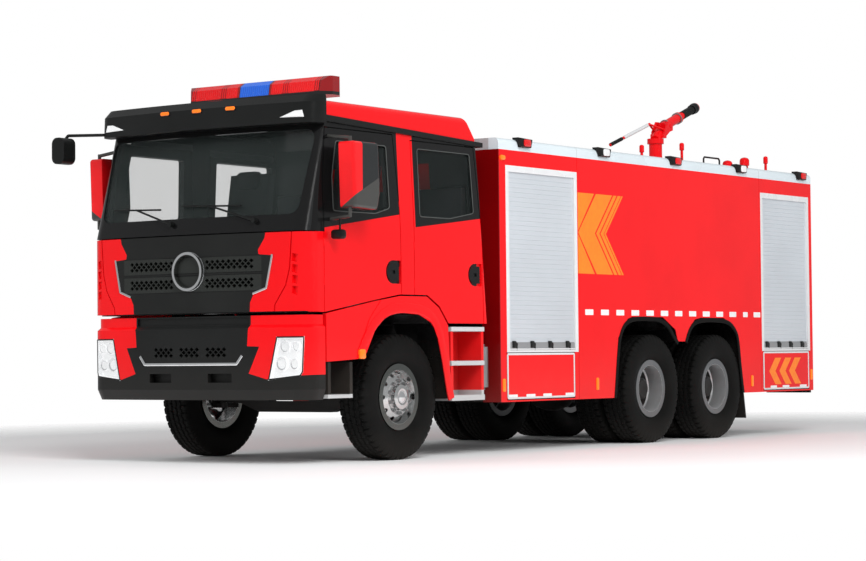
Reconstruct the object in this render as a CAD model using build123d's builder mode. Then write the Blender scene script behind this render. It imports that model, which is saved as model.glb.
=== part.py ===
from build123d import *
import os
from math import cos, radians, sin, sqrt

os.makedirs("parts", exist_ok=True)

# Fire truck with a three-axle chassis, a tilting crew cab and a tank body. Millimetres, +Z up.
# Lengths along the truck are counted from the front axle, positive to the rear, unless said
# otherwise. +X is the truck's left side. The origin lies on the ground, midway along and across.

# Driving dimensions: chassis
WHEELBASE = 4375
TANDEM = 1400
FRONT_TRACK_HALF = 1030
REAR_TRACK_HALF = 925
TWIN_SPACING = 340
RAIL_OUT = 430
RAIL_FLANGE = 80
RAIL_WEB = 8
RAIL_IN = RAIL_OUT - RAIL_FLANGE
RAIL_TOP = 1080
RAIL_HEIGHT = 300
RAIL_FRONT = -1330
RAIL_REAR = 7960

# Driving dimensions: wheels
TYRE_R = 561
TYRE_WIDTH = 315
RIM_SEAT_R = 254
FLANGE_R = 298
BEAD_HALF = 108
FLANGE_WIDTH = 14
SPINDLE_R = 45
HUB_R = 120
STUB_LENGTH = 90
KINGPIN_INSET = 130
KINGPIN_R = 24

# Driving dimensions: cab
CAB_HALF = 1245
CAB_WALL = 60
CAB_BOW = 100
GLASS_BOW = 85
CAB_CORNER_R = 170
CAB_REAR_R = 70
LOWER_FRONT = -1470
FACE_FRONT = -1530
TILT_Y = -1425
TILT_Z = 1000
TILT_TUBE_R = 20
FENDER_TOP = 1465
BUMPER_BOTTOM = 560
LID_TOP = 1996
COWL_BOTTOM = 2006

# Driving dimensions: body
BODY_HALF = 1250
BODY_FRONT = 1500
BODY_REAR = 8090
BODY_TOP = 2880
BODY_FLOOR = 1110
LOCKER_BOTTOM = 480
LOCKER_INNER = 640
ARCH_TOP = 1305
PANEL = 40

# Clearances
SEAT = 0.3
RUN = 0.3
PANEL_GAP = 10
PART_GAP = 6

# The foremost and rearmost points set the origin's place along the truck.
MIRROR_REACH = 1640
BUMPER_REAR = 8130
KERB_MIRROR = (150, 150, 240)
KERB_Y = KERB_MIRROR[1] / 2 - MIRROR_REACH
MIDDLE = (BUMPER_REAR - MIRROR_REACH) / 2


def at(x, y, z):
    """A point, y counted from the front axle."""
    return (x, y - MIDDLE, z)


def plan(z):
    """Plane seen from above: x to the left side, y to the rear."""
    return Plane(origin=at(0, 0, z))


def side(x):
    """Plane seen from the left side: first axis to the rear, second up."""
    return Plane(origin=at(x, 0, 0), x_dir=(0, 1, 0), z_dir=(1, 0, 0))


def front(y):
    """Plane across the truck, its normal forwards: first axis x, second up."""
    return Plane(origin=at(0, y, 0), x_dir=(1, 0, 0), z_dir=(0, -1, 0))


def hub_plane(x, y, z=TYRE_R):
    """Plane through an axle: first axis outwards along +X, second up."""
    return Plane(origin=at(x, y, z), x_dir=(1, 0, 0), z_dir=(0, -1, 0))


def save(piece, name):
    """Label a finished piece and write it."""
    piece.part.label = name
    export_step(piece.part, f"parts/{name}.step")


def mirrored(piece):
    """The same piece for the truck's other side."""
    with BuildPart() as other:
        mirror(piece.part, about=Plane.YZ)
    return other


def block(x0, x1, y0, y1, z0, z1, mode=Mode.ADD):
    """A box between two corners, y counted from the front axle."""
    with Locations(at((x0 + x1) / 2, (y0 + y1) / 2, (z0 + z1) / 2)):
        Box(abs(x1 - x0), abs(y1 - y0), abs(z1 - z0), mode=mode)


def side_prism(points, x0, x1, mode=Mode.ADD):
    """An outline seen from the side, carried across from x0 to x1."""
    with BuildSketch(side(x0)) as outline:
        with BuildLine():
            Polyline(*points, close=True)
        make_face()
    extrude(outline.sketch, amount=x1 - x0, mode=mode)


def front_prism(points, y0, y1, mode=Mode.ADD, rounding=0):
    """An outline seen from the front, its corners rounded, carried rearwards from y0 to y1."""
    with BuildSketch(front(y0)) as outline:
        with BuildLine():
            Polyline(*points, close=True)
        make_face()
        if rounding:
            fillet(outline.vertices(), rounding)
    extrude(outline.sketch, amount=-(y1 - y0), mode=mode)


def rod(start, end, radius, mode=Mode.ADD):
    """A round bar between two points."""
    path = Vector(*at(*end)) - Vector(*at(*start))
    with BuildSketch(Plane(origin=at(*start), z_dir=path)) as section:
        Circle(radius)
    extrude(section.sketch, amount=path.length, mode=mode)


# Cab skin

# Height, front at the middle, bow of the front, rear, corner radius
SKIN_SECTIONS = [
    (1150, LOWER_FRONT, CAB_BOW, 1342, CAB_CORNER_R),
    (LID_TOP + 4, LOWER_FRONT, CAB_BOW, 1262, CAB_CORNER_R),
    (COWL_BOTTOM, FACE_FRONT, CAB_BOW, 1261, CAB_CORNER_R),
    (2950, -1255, GLASS_BOW, 1173, CAB_CORNER_R),
    (3215, -1175, GLASS_BOW, 965, CAB_CORNER_R),
]
SKIN_SIDE_BREAK = 2060
SKIN_EAVE = 3140
SKIN_ROOF = 3205
EAVE_HALF = 1195

# The cab's lower edge seen from the side: along the step, over the wheel, down behind it
CAB_UNDERSIDE = [
    (-1700, 1312),
    (-1200, 1312),
    (-475, 1425),
    (-100, FENDER_TOP + 12),
    (325, FENDER_TOP + 12),
    (515, 1378),
    (660, 1222),
    (1500, 1222),
]


def plan_outline(z, half, front_y, bow, rear_y, corner, rear_corner):
    """The cab's outline at one height: bowed front, rounded corners."""
    with BuildSketch(plan(z)) as outline:
        with BuildLine():
            ThreePointArc((half, front_y + bow), (0, front_y), (-half, front_y + bow))
            Polyline((-half, front_y + bow), (-half, rear_y), (half, rear_y), (half, front_y + bow))
        make_face()
        fillet(outline.vertices().group_by(Axis.Y)[-1], rear_corner)
        fillet(outline.vertices().group_by(Axis.Y)[0], corner)
    return outline.sketch


def cab_solid(inset):
    """The cab as a closed form, taken in by inset on every side."""
    with BuildPart() as form:
        for z, front_y, bow, rear_y, corner in SKIN_SECTIONS:
            add(plan_outline(z, CAB_HALF - inset, front_y + inset, bow, rear_y - inset,
                             corner - inset / 2, CAB_REAR_R - inset / 2))
        loft(ruled=True)
        with BuildSketch(front(-2000)) as across:
            with BuildLine():
                Polyline((-EAVE_HALF + inset, SKIN_EAVE - inset), (-CAB_HALF + inset, SKIN_SIDE_BREAK),
                         (-CAB_HALF + inset, 1100), (CAB_HALF - inset, 1100),
                         (CAB_HALF - inset, SKIN_SIDE_BREAK), (EAVE_HALF - inset, SKIN_EAVE - inset))
                ThreePointArc((EAVE_HALF - inset, SKIN_EAVE - inset), (0, SKIN_ROOF - inset),
                              (-EAVE_HALF + inset, SKIN_EAVE - inset))
            make_face()
            fillet(across.vertices().group_by(Axis.Y)[-1], 70)
        extrude(amount=-4000, mode=Mode.INTERSECT)
        lower = [(y, z + inset) for y, z in CAB_UNDERSIDE]
        side_prism(lower + [(1500, 900), (-1700, 900)], -1300, 1300, mode=Mode.SUBTRACT)
    return form.part


GLASS_THICK = 14
GLASS_INSET = 12

skin = cab_solid(0)
wall = skin - cab_solid(CAB_WALL)
wall_and_gap = skin - cab_solid(CAB_WALL + PANEL_GAP)
glass_layer = cab_solid(GLASS_INSET) - cab_solid(GLASS_INSET + GLASS_THICK)

# Door outlines seen from the side, without the gap round them
FRONT_DOOR = [(-1196, 1300), (-1196, 2350), (-1130, 2900), (-150, 2900), (-90, 2250), (-80, 1500),
              (-80, 1300)]
REAR_DOOR = [(132, 1200), (132, 2865), (1131, 2865), (1212, 2000), (1228, 1200)]
FRONT_WINDOW = [(-1060, 2185), (-1060, 2480), (-985, 2795), (-250, 2795), (-235, 2240), (-450, 2185)]
REAR_WINDOW = [(225, 2185), (225, 2800), (1065, 2800), (1092, 2250), (700, 2185)]
DOORS = {"front": (FRONT_DOOR, FRONT_WINDOW), "rear": (REAR_DOOR, REAR_WINDOW)}
WINDOW_ROUND = 30
WINDSHIELD = [(-1120, 2150), (1120, 2150), (1165, 2890), (-1165, 2890)]
WINDSHIELD_ROUND = 90
HANDLE_HEIGHT = 1675
HINGE_HEIGHTS = (1540, 1880)
LEG_HALF = 20
LEG_REACH = 350
LEGS_X = (-520, 440)
LEG_WIDTH = 80
LEG_GAP = 8
# The front of a leg that stands upright when the cab is tilted
LEG_SWING = LEG_HALF * sqrt(2) + LEG_GAP
LID_THICK = 45
# The lid's back at the lugs' outer edge, bowed as the face is
LUG_FRONT = FACE_FRONT + LID_THICK + CAB_BOW * (520 / (CAB_HALF - LID_THICK)) ** 2 + SEAT
HANDLES = {"front": -95, "rear": 1196}
HANDLE_LENGTH = 200
HANDLE_R = 92
HANDLE_RECESS = 12
HANDLE_DEPTH = 22
HANDLE_SLOT = (70, 30)


def outline_prism(points, amount, x0, x1, mode, rounding=0):
    """A door or window outline, moved outwards by amount and carried across."""
    with BuildSketch(side(x0)) as shape:
        with BuildLine():
            Polyline(*points, close=True)
        make_face()
        if rounding:
            fillet(shape.vertices(), rounding)
        offset(amount=amount, kind=Kind.INTERSECTION)
    extrude(shape.sketch, amount=x1 - x0, mode=mode)


def handle_shape(rear_end, grown, x0, x1, mode):
    """A D with its round end forwards: the handle plate's outline, grown, carried outwards."""
    with BuildSketch(side(x0)) as outline:
        middle = rear_end - HANDLE_LENGTH + HANDLE_R
        with Locations((middle, HANDLE_HEIGHT)):
            Circle(HANDLE_R + grown)
        with Locations(((middle + rear_end + grown) / 2, HANDLE_HEIGHT)):
            Rectangle(rear_end + grown - middle, 2 * (HANDLE_R + grown))
    extrude(outline.sketch, amount=x1 - x0, mode=mode)


def windshield_prism(clearance, mode):
    """The windshield's outline with round corners, taken in by a clearance, through the front."""
    with BuildSketch(front(-1700)) as outline:
        with BuildLine():
            Polyline(*WINDSHIELD, close=True)
        make_face()
        fillet(outline.vertices(), WINDSHIELD_ROUND)
        if clearance:
            offset(amount=-clearance, kind=Kind.INTERSECTION)
    extrude(outline.sketch, amount=-650, mode=mode)


SIDE_REACH = (CAB_HALF - CAB_WALL - 65, CAB_HALF + 55)
# Below the seats the side is upright and the floor stays with the cab
UPRIGHT_TOP = 1700
door_parts = {}
for place, (outline, window) in DOORS.items():
    with BuildPart() as door:
        add(wall)
        outline_prism(outline, 0, *SIDE_REACH, mode=Mode.INTERSECT)
        block(0, CAB_HALF - CAB_WALL, -1300, 1300, 1000, UPRIGHT_TOP, mode=Mode.SUBTRACT)
        outline_prism(window, 0, *SIDE_REACH, mode=Mode.SUBTRACT, rounding=WINDOW_ROUND)
        handle_shape(HANDLES[place], HANDLE_RECESS, CAB_HALF - HANDLE_DEPTH, CAB_HALF + 5, Mode.SUBTRACT)
        handle_shape(HANDLES[place], -HANDLE_RECESS, CAB_HALF - HANDLE_DEPTH, CAB_HALF - 6, Mode.ADD)
        length, height = HANDLE_SLOT
        middle = HANDLES[place] - HANDLE_LENGTH / 2
        block(CAB_HALF - HANDLE_DEPTH + 2, CAB_HALF, middle - length / 2, middle + length / 2,
              HANDLE_HEIGHT - height / 2, HANDLE_HEIGHT + height / 2, mode=Mode.SUBTRACT)
    with BuildPart() as pane:
        add(glass_layer)
        outline_prism(window, -SEAT, *SIDE_REACH, mode=Mode.INTERSECT, rounding=WINDOW_ROUND)
    door_parts[place] = (door, pane)

for place, (door, pane) in door_parts.items():
    save(door, f"door_{place}_left")
    save(mirrored(door), f"door_{place}_right")
    save(pane, f"door_glass_{place}_left")
    save(mirrored(pane), f"door_glass_{place}_right")

with BuildPart() as cab_shell:
    add(wall)
    with BuildPart(mode=Mode.PRIVATE) as side_openings:
        for outline, _ in DOORS.values():
            outline_prism(outline, PANEL_GAP, *SIDE_REACH, mode=Mode.ADD)
        block(0, CAB_HALF - CAB_WALL - PANEL_GAP, -1400, 1300, 1000, UPRIGHT_TOP, mode=Mode.SUBTRACT)
    openings = side_openings.part & wall_and_gap
    add(openings, mode=Mode.SUBTRACT)
    add(openings.mirror(Plane.YZ), mode=Mode.SUBTRACT)
    windshield_prism(0, Mode.SUBTRACT)
    # Rear window of the crew cab
    block(-700, 700, 1000, 1400, 2250, 2750, mode=Mode.SUBTRACT)
    # Front legs down to the tilt tube and the rear feet that rest on the frame
    for x in LEGS_X:
        side_prism([(TILT_Y - LEG_HALF, TILT_Z + LEG_HALF), (TILT_Y + LEG_HALF, TILT_Z - LEG_HALF),
                    (TILT_Y + LEG_REACH + LEG_HALF, TILT_Z + LEG_REACH - LEG_HALF),
                    (TILT_Y + LEG_REACH - LEG_HALF, TILT_Z + LEG_REACH + LEG_HALF)], x, x + LEG_WIDTH)
    rod((-560, TILT_Y, TILT_Z), (560, TILT_Y, TILT_Z), TILT_TUBE_R)
    # Lugs behind the lid's upper edge, and a hinge pin ahead of each door
    for x in (-500, 500):
        block(x - 20, x + 20, LUG_FRONT, LUG_FRONT + 40, LID_TOP - 26, LID_TOP)
    for outline, _ in DOORS.values():
        for s in (1, -1):
            for z in HINGE_HEIGHTS:
                hinge_y = outline[0][0] - PANEL_GAP / 2
                rod((s * CAB_HALF, hinge_y - 0.5, z), (s * CAB_HALF, hinge_y - 0.5, z + 70), PANEL_GAP / 2)
    for x in (-RAIL_OUT, RAIL_OUT - RAIL_FLANGE):
        block(x, x + RAIL_FLANGE, 1120, 1220, RAIL_TOP + SEAT, 1240)
save(cab_shell, "cab_shell")

with BuildPart() as windshield:
    add(glass_layer)
    windshield_prism(SEAT, Mode.INTERSECT)
save(windshield, "windshield")

# Front: lid, deflectors, bumper, all cut from one bowed face

LID_BOTTOM = 1320
LID_EDGE = [(1085, LID_TOP), (1063, 1687), (1024, 1542), (916, 1378), (909, LID_BOTTOM)]
GRILLE_EDGE = [(840, LID_TOP + 40), (822, 1950), (754, 1850), (760, 1812), (905, 1800), (837, 1510),
               (705, 1470), (670, 1400), (665, LID_BOTTOM - 40)]
GRILLE_ROUND = 12
FACE_BACK = -1195
BUMPER_TOP = 1288
BUMPER_WALL = 50
# Set-back of the bumper's face at each height: a tucked chin, a shelf above the lamps
BUMPER_LEVELS = [(BUMPER_BOTTOM, 30), (BUMPER_BOTTOM + 90, 0), (1180, 0), (1206, 24), (BUMPER_TOP, 24)]
# Rhombic openings: pitch across and up, width of the bars between them
NET_PITCH = (60, 52)
NET_BAR = 6
# Groups of openings: middle across, middle height, columns, rows
GRILLE_NETS = [(-445, 1573, 9, 2), (445, 1573, 9, 2), (-445, 1735, 9, 2), (445, 1735, 9, 2)]
LOWER_NETS = [(-300, 975, 4, 2), (0, 975, 4, 2), (300, 975, 4, 2)]


def face_band(levels, thick, back):
    """The bowed front face as a wall through levels of (height, set-back), its ends at back."""
    with BuildPart() as band:
        for depth, mode in ((0, Mode.ADD), (thick, Mode.SUBTRACT)):
            for z, set_back in levels:
                inset = depth + set_back
                add(plan_outline(z, CAB_HALF - inset, FACE_FRONT + inset, CAB_BOW, 200,
                                 CAB_CORNER_R - inset / 2, 20))
            loft(ruled=True, mode=mode)
        block(-1400, 1400, back, 400, levels[0][0] - 10, levels[-1][0] + 10, mode=Mode.SUBTRACT)
    return band.part


def rhombic_holes(nets):
    """Groups of rhombic openings through the front, every second row half a pitch aside."""
    across, up = (pitch / 2 - NET_BAR for pitch in NET_PITCH)
    with BuildSketch(front(-1700)) as holes:
        for x, z, columns, rows in nets:
            for fewer in (0, 1):
                with Locations((x, z)):
                    with GridLocations(*NET_PITCH, columns - fewer, rows - fewer):
                        Polygon((across, 0), (0, up), (-across, 0), (0, -up))
    extrude(holes.sketch, amount=-600, mode=Mode.SUBTRACT)


def both_sides(points):
    """A closed outline from its right-hand half, listed from the top down."""
    return points + [(-x, z) for x, z in reversed(points)]


lid_band = face_band([(LID_BOTTOM, 0), (LID_TOP, 0)], LID_THICK, FACE_BACK)
with BuildPart() as lid:
    add(lid_band)
    front_prism(both_sides(LID_EDGE), -1700, -1100, mode=Mode.INTERSECT)
    front_prism(both_sides(GRILLE_EDGE), -1700, -1100, mode=Mode.SUBTRACT, rounding=GRILLE_ROUND)
save(lid, "front_lid")

with BuildPart() as grille:
    add(lid_band)
    front_prism(both_sides(GRILLE_EDGE), -1700, -1100, mode=Mode.INTERSECT, rounding=GRILLE_ROUND)
    # Two dished rows between three bars, each row a field of openings
    for z0, z1 in ((1500, 1646), (1664, 1806)):
        block(-790, 790, -1700, FACE_FRONT + 8, z0, z1, mode=Mode.SUBTRACT)
    rhombic_holes(GRILLE_NETS)
    with BuildSketch(front(FACE_FRONT - 25)):
        with Locations((0, 1682)):
            Circle(170)
            Circle(138, mode=Mode.SUBTRACT)
    extrude(amount=-60)
save(grille, "grille")

DEFLECTOR_GAP = 12
INLETS = [1470, 1562, 1654, 1746]
with BuildPart() as deflector:
    add(face_band([(LID_BOTTOM, 0), (LID_TOP, 0)], 100, -1240))
    add(skin, mode=Mode.SUBTRACT)
    front_prism([(x + DEFLECTOR_GAP, z) for x, z in LID_EDGE] + [(1400, LID_BOTTOM), (1400, LID_TOP)],
                -1700, -1100, mode=Mode.INTERSECT)
    # Four slanted air inlets
    for z in INLETS:
        front_prism([(1090, z), (1140, z - 12), (1148, z + 58), (1096, z + 66)], -1700, -1425,
                    mode=Mode.SUBTRACT)
with BuildPart() as deflectors:
    add(deflector.part)
    mirror(deflector.part, about=Plane.YZ)
save(deflectors, "corner_deflectors")

HEADLAMP = [(933, 1104), (1190, 1104), (1178, 800), (1160, 764), (847, 730)]
BLACK_HALF = [(657, BUMPER_TOP), (657, 1215), (645, 1160), (635, 1025), (760, 1020), (650, 790), (830, 740),
              (1050, 765), (1300, 780), (1300, BUMPER_BOTTOM)]
LAMP_RIM = 16
LAMP_DEPTH = 26
# Lamp bowls: place across, height, radius
BOWLS = [(1000, 1020, 58), (1112, 1018, 46), (966, 872, 66), (1092, 868, 54)]
# The recess across the bumper's top, and the mesh plate at its back
RECESS = (640, 1212, 1276)
RECESS_DEPTH = 16
bumper_band = face_band(BUMPER_LEVELS, BUMPER_WALL, FACE_BACK)
lamp_cavity = face_band([(z, set_back - 1) for z, set_back in BUMPER_LEVELS], LAMP_DEPTH + 1, FACE_BACK - 20)
with BuildPart() as bumper:
    add(bumper_band)
    front_prism(both_sides(BLACK_HALF), -1700, -1100, mode=Mode.SUBTRACT)
    for s in (1, -1):
        front_prism([(s * x, z) for x, z in HEADLAMP], -1700, -1100, mode=Mode.SUBTRACT)
save(bumper, "bumper")

with BuildPart() as bumper_grille:
    add(bumper_band)
    front_prism(both_sides(BLACK_HALF), -1700, -1100, mode=Mode.INTERSECT)
    for s in (1, -1):
        front_prism([(s * x, z) for x, z in HEADLAMP], -1700, -1100, mode=Mode.SUBTRACT)
        block(s * 210, s * 470, -1700, -1100, 712, 790, mode=Mode.SUBTRACT)
        block(s * RAIL_IN, s * RAIL_OUT, -1490, RAIL_FRONT - SEAT, 800, 860)
    half, z0, z1 = RECESS
    block(-half, half, -1700, -1100, z0, z1, mode=Mode.SUBTRACT)
    rhombic_holes(LOWER_NETS)
    with BuildPart(mode=Mode.PRIVATE) as recess_back:
        add(face_band([(z, set_back + RECESS_DEPTH) for z, set_back in BUMPER_LEVELS[-2:]],
                      BUMPER_WALL - RECESS_DEPTH, FACE_BACK))
        block(-half - 10, half + 10, -1700, -1100, z0 - 6, z1 + 10, mode=Mode.INTERSECT)
    add(recess_back.part)
    # Room behind the face for the legs of the tilted cab
    for x in LEGS_X:
        block(x - LEG_GAP, x + LEG_WIDTH + LEG_GAP, TILT_Y - LEG_SWING, FACE_BACK,
              BUMPER_LEVELS[-3][0] - LEG_GAP, BUMPER_TOP + LEG_GAP, mode=Mode.SUBTRACT)
save(bumper_grille, "bumper_grille")

with BuildPart() as headlamps:
    add(bumper_band)
    with BuildPart(mode=Mode.PRIVATE) as zones:
        for s in (1, -1):
            front_prism([(s * x, z) for x, z in HEADLAMP], -1700, -1100)
    add(zones.part, mode=Mode.INTERSECT)
    with BuildPart(mode=Mode.PRIVATE) as pockets:
        for s in (1, -1):
            with BuildSketch(front(-1700)) as opening:
                with BuildLine():
                    Polyline(*[(s * x, z) for x, z in HEADLAMP], close=True)
                make_face()
                offset(amount=-LAMP_RIM, kind=Kind.INTERSECTION)
            extrude(opening.sketch, amount=-505)
    add(pockets.part & lamp_cavity, mode=Mode.SUBTRACT)
    for s in (1, -1):
        for x, z, radius in BOWLS:
            face = FACE_FRONT + CAB_BOW * (x / CAB_HALF) ** 2
            rod((s * x, face + 14, z), (s * x, face + LAMP_DEPTH + 12, z), radius)
            rod((s * x, face + 13, z), (s * x, face + 30, z), radius - 8, mode=Mode.SUBTRACT)
save(headlamps, "headlamps")

# Visor over the windshield with the round-ended kerb mirror on its right arm
VISOR_BOTTOM = 2935
VISOR_TOP = 3185
VISOR_FRONT = -1410
VISOR_REAR = -1150
RAIN_RAIL = [(VISOR_REAR - 20, 3012), (VISOR_REAR - 20, 2957), (1270, 2877), (1270, 2920)]
RAIN_RAIL_X = 1229
with BuildPart() as visor:
    for z, set_back in ((VISOR_BOTTOM, 0), (VISOR_TOP - 70, 10), (VISOR_TOP, 90)):
        add(plan_outline(z, CAB_HALF, VISOR_FRONT + set_back, 90, 200, 150, 20))
    loft(ruled=True)
    block(-1400, 1400, VISOR_REAR, 400, 2900, 3300, mode=Mode.SUBTRACT)
    # Rain rails along both sides, over the doors
    for s in (1, -1):
        side_prism(RAIN_RAIL, min(s * RAIN_RAIL_X, s * 1150), max(s * RAIN_RAIL_X, s * 1150))
    add(skin, mode=Mode.SUBTRACT)
    rod((-1190, -1300, 2965), (-1450, KERB_Y + 60, 2960), 14)
    rod((-1450, KERB_Y + 60, 2960), (-1450, KERB_Y, 2900), 14)
    with Locations(at(-1450, KERB_Y, 2815)):
        Box(*KERB_MIRROR)
    fillet(visor.edges().filter_by(Axis.Y).filter_by(
        lambda e: e.center().X < -1350 and e.length > 100), 60)
save(visor, "visor")

# Light bar on the roof
BAR_HALF = 825
BAR_FRONT = -620
BAR_REAR = -300
BAR_PLAN = [(740, BAR_FRONT - 5), (BAR_HALF, BAR_FRONT + 110), (BAR_HALF, BAR_REAR - 110), (740, BAR_REAR + 5)]
with BuildPart() as light_bar:
    with BuildSketch(side(-BAR_HALF)):
        with BuildLine():
            Polyline((BAR_FRONT, 3262), (BAR_FRONT, 3292), (BAR_FRONT + 10, 3292), (BAR_FRONT + 30, 3390),
                     (BAR_FRONT + 90, 3430), (BAR_REAR - 90, 3430), (BAR_REAR - 30, 3390),
                     (BAR_REAR - 10, 3292), (BAR_REAR, 3292), (BAR_REAR, 3262), close=True)
        make_face()
    extrude(amount=2 * BAR_HALF)
    # Ends that come to a blunt point
    with BuildSketch(plan(3200)) as ends:
        with BuildLine():
            Polyline(*BAR_PLAN, *[(-x, y) for x, y in reversed(BAR_PLAN)], close=True)
        make_face()
    extrude(ends.sketch, amount=300, mode=Mode.INTERSECT)
    for x in (-500, 500):
        block(x - 60, x + 60, -560, -360, SKIN_ROOF - 14, 3270)
    add(skin, mode=Mode.SUBTRACT)
save(light_bar, "light_bar")

# Wipers: pivot, arm and blade each, the blades lying along the glass
WIPERS = [(-207, -980, -370), (715, -125, 540)]


def face_y(x, z):
    """The windshield's face at a place across and a height."""
    lean = (SKIN_SECTIONS[3][1] - FACE_FRONT) / (SKIN_SECTIONS[3][0] - COWL_BOTTOM)
    return FACE_FRONT + lean * (z - COWL_BOTTOM) + CAB_BOW * (x / CAB_HALF) ** 2


with BuildPart() as wipers:
    for pivot, tip, heel in WIPERS:
        middle = (tip + heel) / 2
        rod((pivot, face_y(pivot, 2105) + 20, 2105), (pivot, face_y(pivot, 2105) - 45, 2105), 22)
        rod((pivot, face_y(pivot, 2105) - 35, 2105), (middle, face_y(middle, 2251) - 20, 2251), 9)
        rod((tip, face_y(tip, 2262) - 15, 2262), (heel, face_y(heel, 2240) - 15, 2240), 8)
    add(skin, mode=Mode.SUBTRACT)
save(wipers, "wipers")

# Interior: dashboard, wheel, two front seats, a rear bench
FLOOR = 1425 + CAB_WALL
with BuildPart() as interior:
    side_prism([(-1500, 1700), (-1500, 2080), (-1150, 2120), (-980, 2020), (-1000, 1720)], -1050, 1050)
    block(-1050, 1050, -1350, -1080, 1400, 1750)
    block(-330, 330, -700, 520, FLOOR, FLOOR + 130)
    rod((420, -1050, 1850), (420, -850, 1960), 35)
    with BuildSketch(Plane(origin=at(420, -850, 1960), z_dir=(0, 0.8, 0.6))):
        Circle(220)
        Circle(190, mode=Mode.SUBTRACT)
        Rectangle(400, 40)
    extrude(amount=25)
    for x in (-620, 620):
        block(x - 240, x + 240, -520, 0, FLOOR, FLOOR + 400)
        side_prism([(-60, FLOOR + 350), (60, FLOOR + 350), (170, 2650), (80, 2650)], x - 230, x + 230)
    block(-1100, 1100, 700, 1180, 1240, 1900)
    side_prism([(1060, 1890), (1170, 1890), (1170, 2500), (1100, 2500)], -1100, 1100)
    add(cab_solid(CAB_WALL + SEAT), mode=Mode.INTERSECT)
save(interior, "cab_interior")

# Chassis

AXLE_Z = TYRE_R
BOGIE_Y = WHEELBASE + TANDEM / 2
REAR_AXLES = (WHEELBASE, WHEELBASE + TANDEM)
KINGPIN_X = FRONT_TRACK_HALF - KINGPIN_INSET
RAIL_BOTTOM = RAIL_TOP - RAIL_HEIGHT
CROSS_MEMBERS = [(-1330, -1270), (1050, 1130), (2300, 2380), (3400, 3480), (5035, 5115), (6700, 6780), (7900, 7960)]
SPRING_FRONT_REACH = 700
SPRING_TOP = 745
BEAM_TOP = 610
BEAM_PAD = 640
TOW_EYE_R = 25

with BuildPart() as chassis_frame:
    for s in (1, -1):
        block(s * RAIL_IN, s * RAIL_OUT, RAIL_FRONT, RAIL_REAR, RAIL_BOTTOM, RAIL_TOP)
        block(s * (RAIL_IN - 1), s * (RAIL_OUT - RAIL_WEB), RAIL_FRONT, RAIL_REAR,
              RAIL_BOTTOM + RAIL_WEB, RAIL_TOP - RAIL_WEB, mode=Mode.SUBTRACT)
    for y0, y1 in CROSS_MEMBERS:
        block(RAIL_WEB - RAIL_OUT, RAIL_OUT - RAIL_WEB, y0, y1, RAIL_BOTTOM + 150, RAIL_TOP - 40)
    # Brackets that carry the cab's tilt tube, ahead of the rails
    for s in (1, -1):
        block(s * (RAIL_IN + 10), s * (RAIL_OUT - 10), TILT_Y - 32, RAIL_FRONT, 940, 1035)
    rod((-600, TILT_Y, TILT_Z), (600, TILT_Y, TILT_Z), TILT_TUBE_R + RUN, mode=Mode.SUBTRACT)
    # Hangers for the front springs
    for s in (1, -1):
        for y in (-SPRING_FRONT_REACH - 30, SPRING_FRONT_REACH - 30):
            block(s * RAIL_IN, s * RAIL_OUT, y, y + 60, SPRING_TOP, RAIL_BOTTOM)
        block(s * RAIL_IN, s * RAIL_OUT, BOGIE_Y - 60, BOGIE_Y + 60, 560, RAIL_BOTTOM)
    # Rear tow plate with its pin hole
    block(-90, 90, RAIL_REAR, RAIL_REAR + 110, 930, 970)
    with BuildSketch(plan(920)) as hole:
        with Locations((0, RAIL_REAR + 60)):
            Circle(TOW_EYE_R)
    extrude(hole.sketch, amount=60, mode=Mode.SUBTRACT)
save(chassis_frame, "chassis_frame")

with BuildPart() as engine:
    block(-RAIL_IN + SEAT + 1, RAIL_IN - SEAT - 1, -850, 450, 660, 1270)
save(engine, "engine_block")

EYE_R = 45
with BuildPart() as front_axle:
    for s in (1, -1):
        front_prism([(0, 420), (s * 420, 420), (s * 640, 500), (s * (KINGPIN_X - 30), 510),
                     (s * (KINGPIN_X - 30), BEAM_TOP), (s * 640, BEAM_TOP - 10), (s * 520, BEAM_PAD),
                     (s * 340, BEAM_PAD), (s * 300, 520), (0, 520)], -55, 55)
        rod((s * KINGPIN_X, 0, 505), (s * KINGPIN_X, 0, 615), EYE_R)
        rod((s * KINGPIN_X, 0, 465), (s * KINGPIN_X, 0, 655), KINGPIN_R)
save(front_axle, "front_axle")

with BuildPart() as springs:
    for s in (1, -1):
        x0 = s * (RAIL_IN + 5)
        x1 = s * (RAIL_OUT - 5)
        with BuildSketch(side(min(x0, x1))) as pack:
            with BuildLine():
                ThreePointArc((-SPRING_FRONT_REACH, SPRING_TOP - SEAT), (0, 700), (SPRING_FRONT_REACH, SPRING_TOP - SEAT))
                Polyline((SPRING_FRONT_REACH, SPRING_TOP - SEAT), (SPRING_FRONT_REACH, 715), (150, BEAM_PAD + SEAT),
                         (-150, BEAM_PAD + SEAT), (-SPRING_FRONT_REACH, 715), (-SPRING_FRONT_REACH, SPRING_TOP - SEAT))
            make_face()
        extrude(pack.sketch, amount=abs(x1 - x0))
        x0 = s * (RAIL_OUT + SEAT)
        x1 = s * (RAIL_OUT + 85)
        with BuildSketch(side(min(x0, x1))) as pack:
            with BuildLine():
                ThreePointArc((WHEELBASE - 60, 700), (BOGIE_Y, 745), (WHEELBASE + TANDEM + 60, 700))
                Polyline((WHEELBASE + TANDEM + 60, 700), (WHEELBASE + TANDEM + 60, 665),
                         (WHEELBASE + TANDEM - 70, 665), (BOGIE_Y + 200, 590), (BOGIE_Y - 200, 590),
                         (WHEELBASE + 70, 665), (WHEELBASE - 60, 665), (WHEELBASE - 60, 700))
            make_face()
        extrude(pack.sketch, amount=abs(x1 - x0))
save(springs, "leaf_springs")

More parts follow.
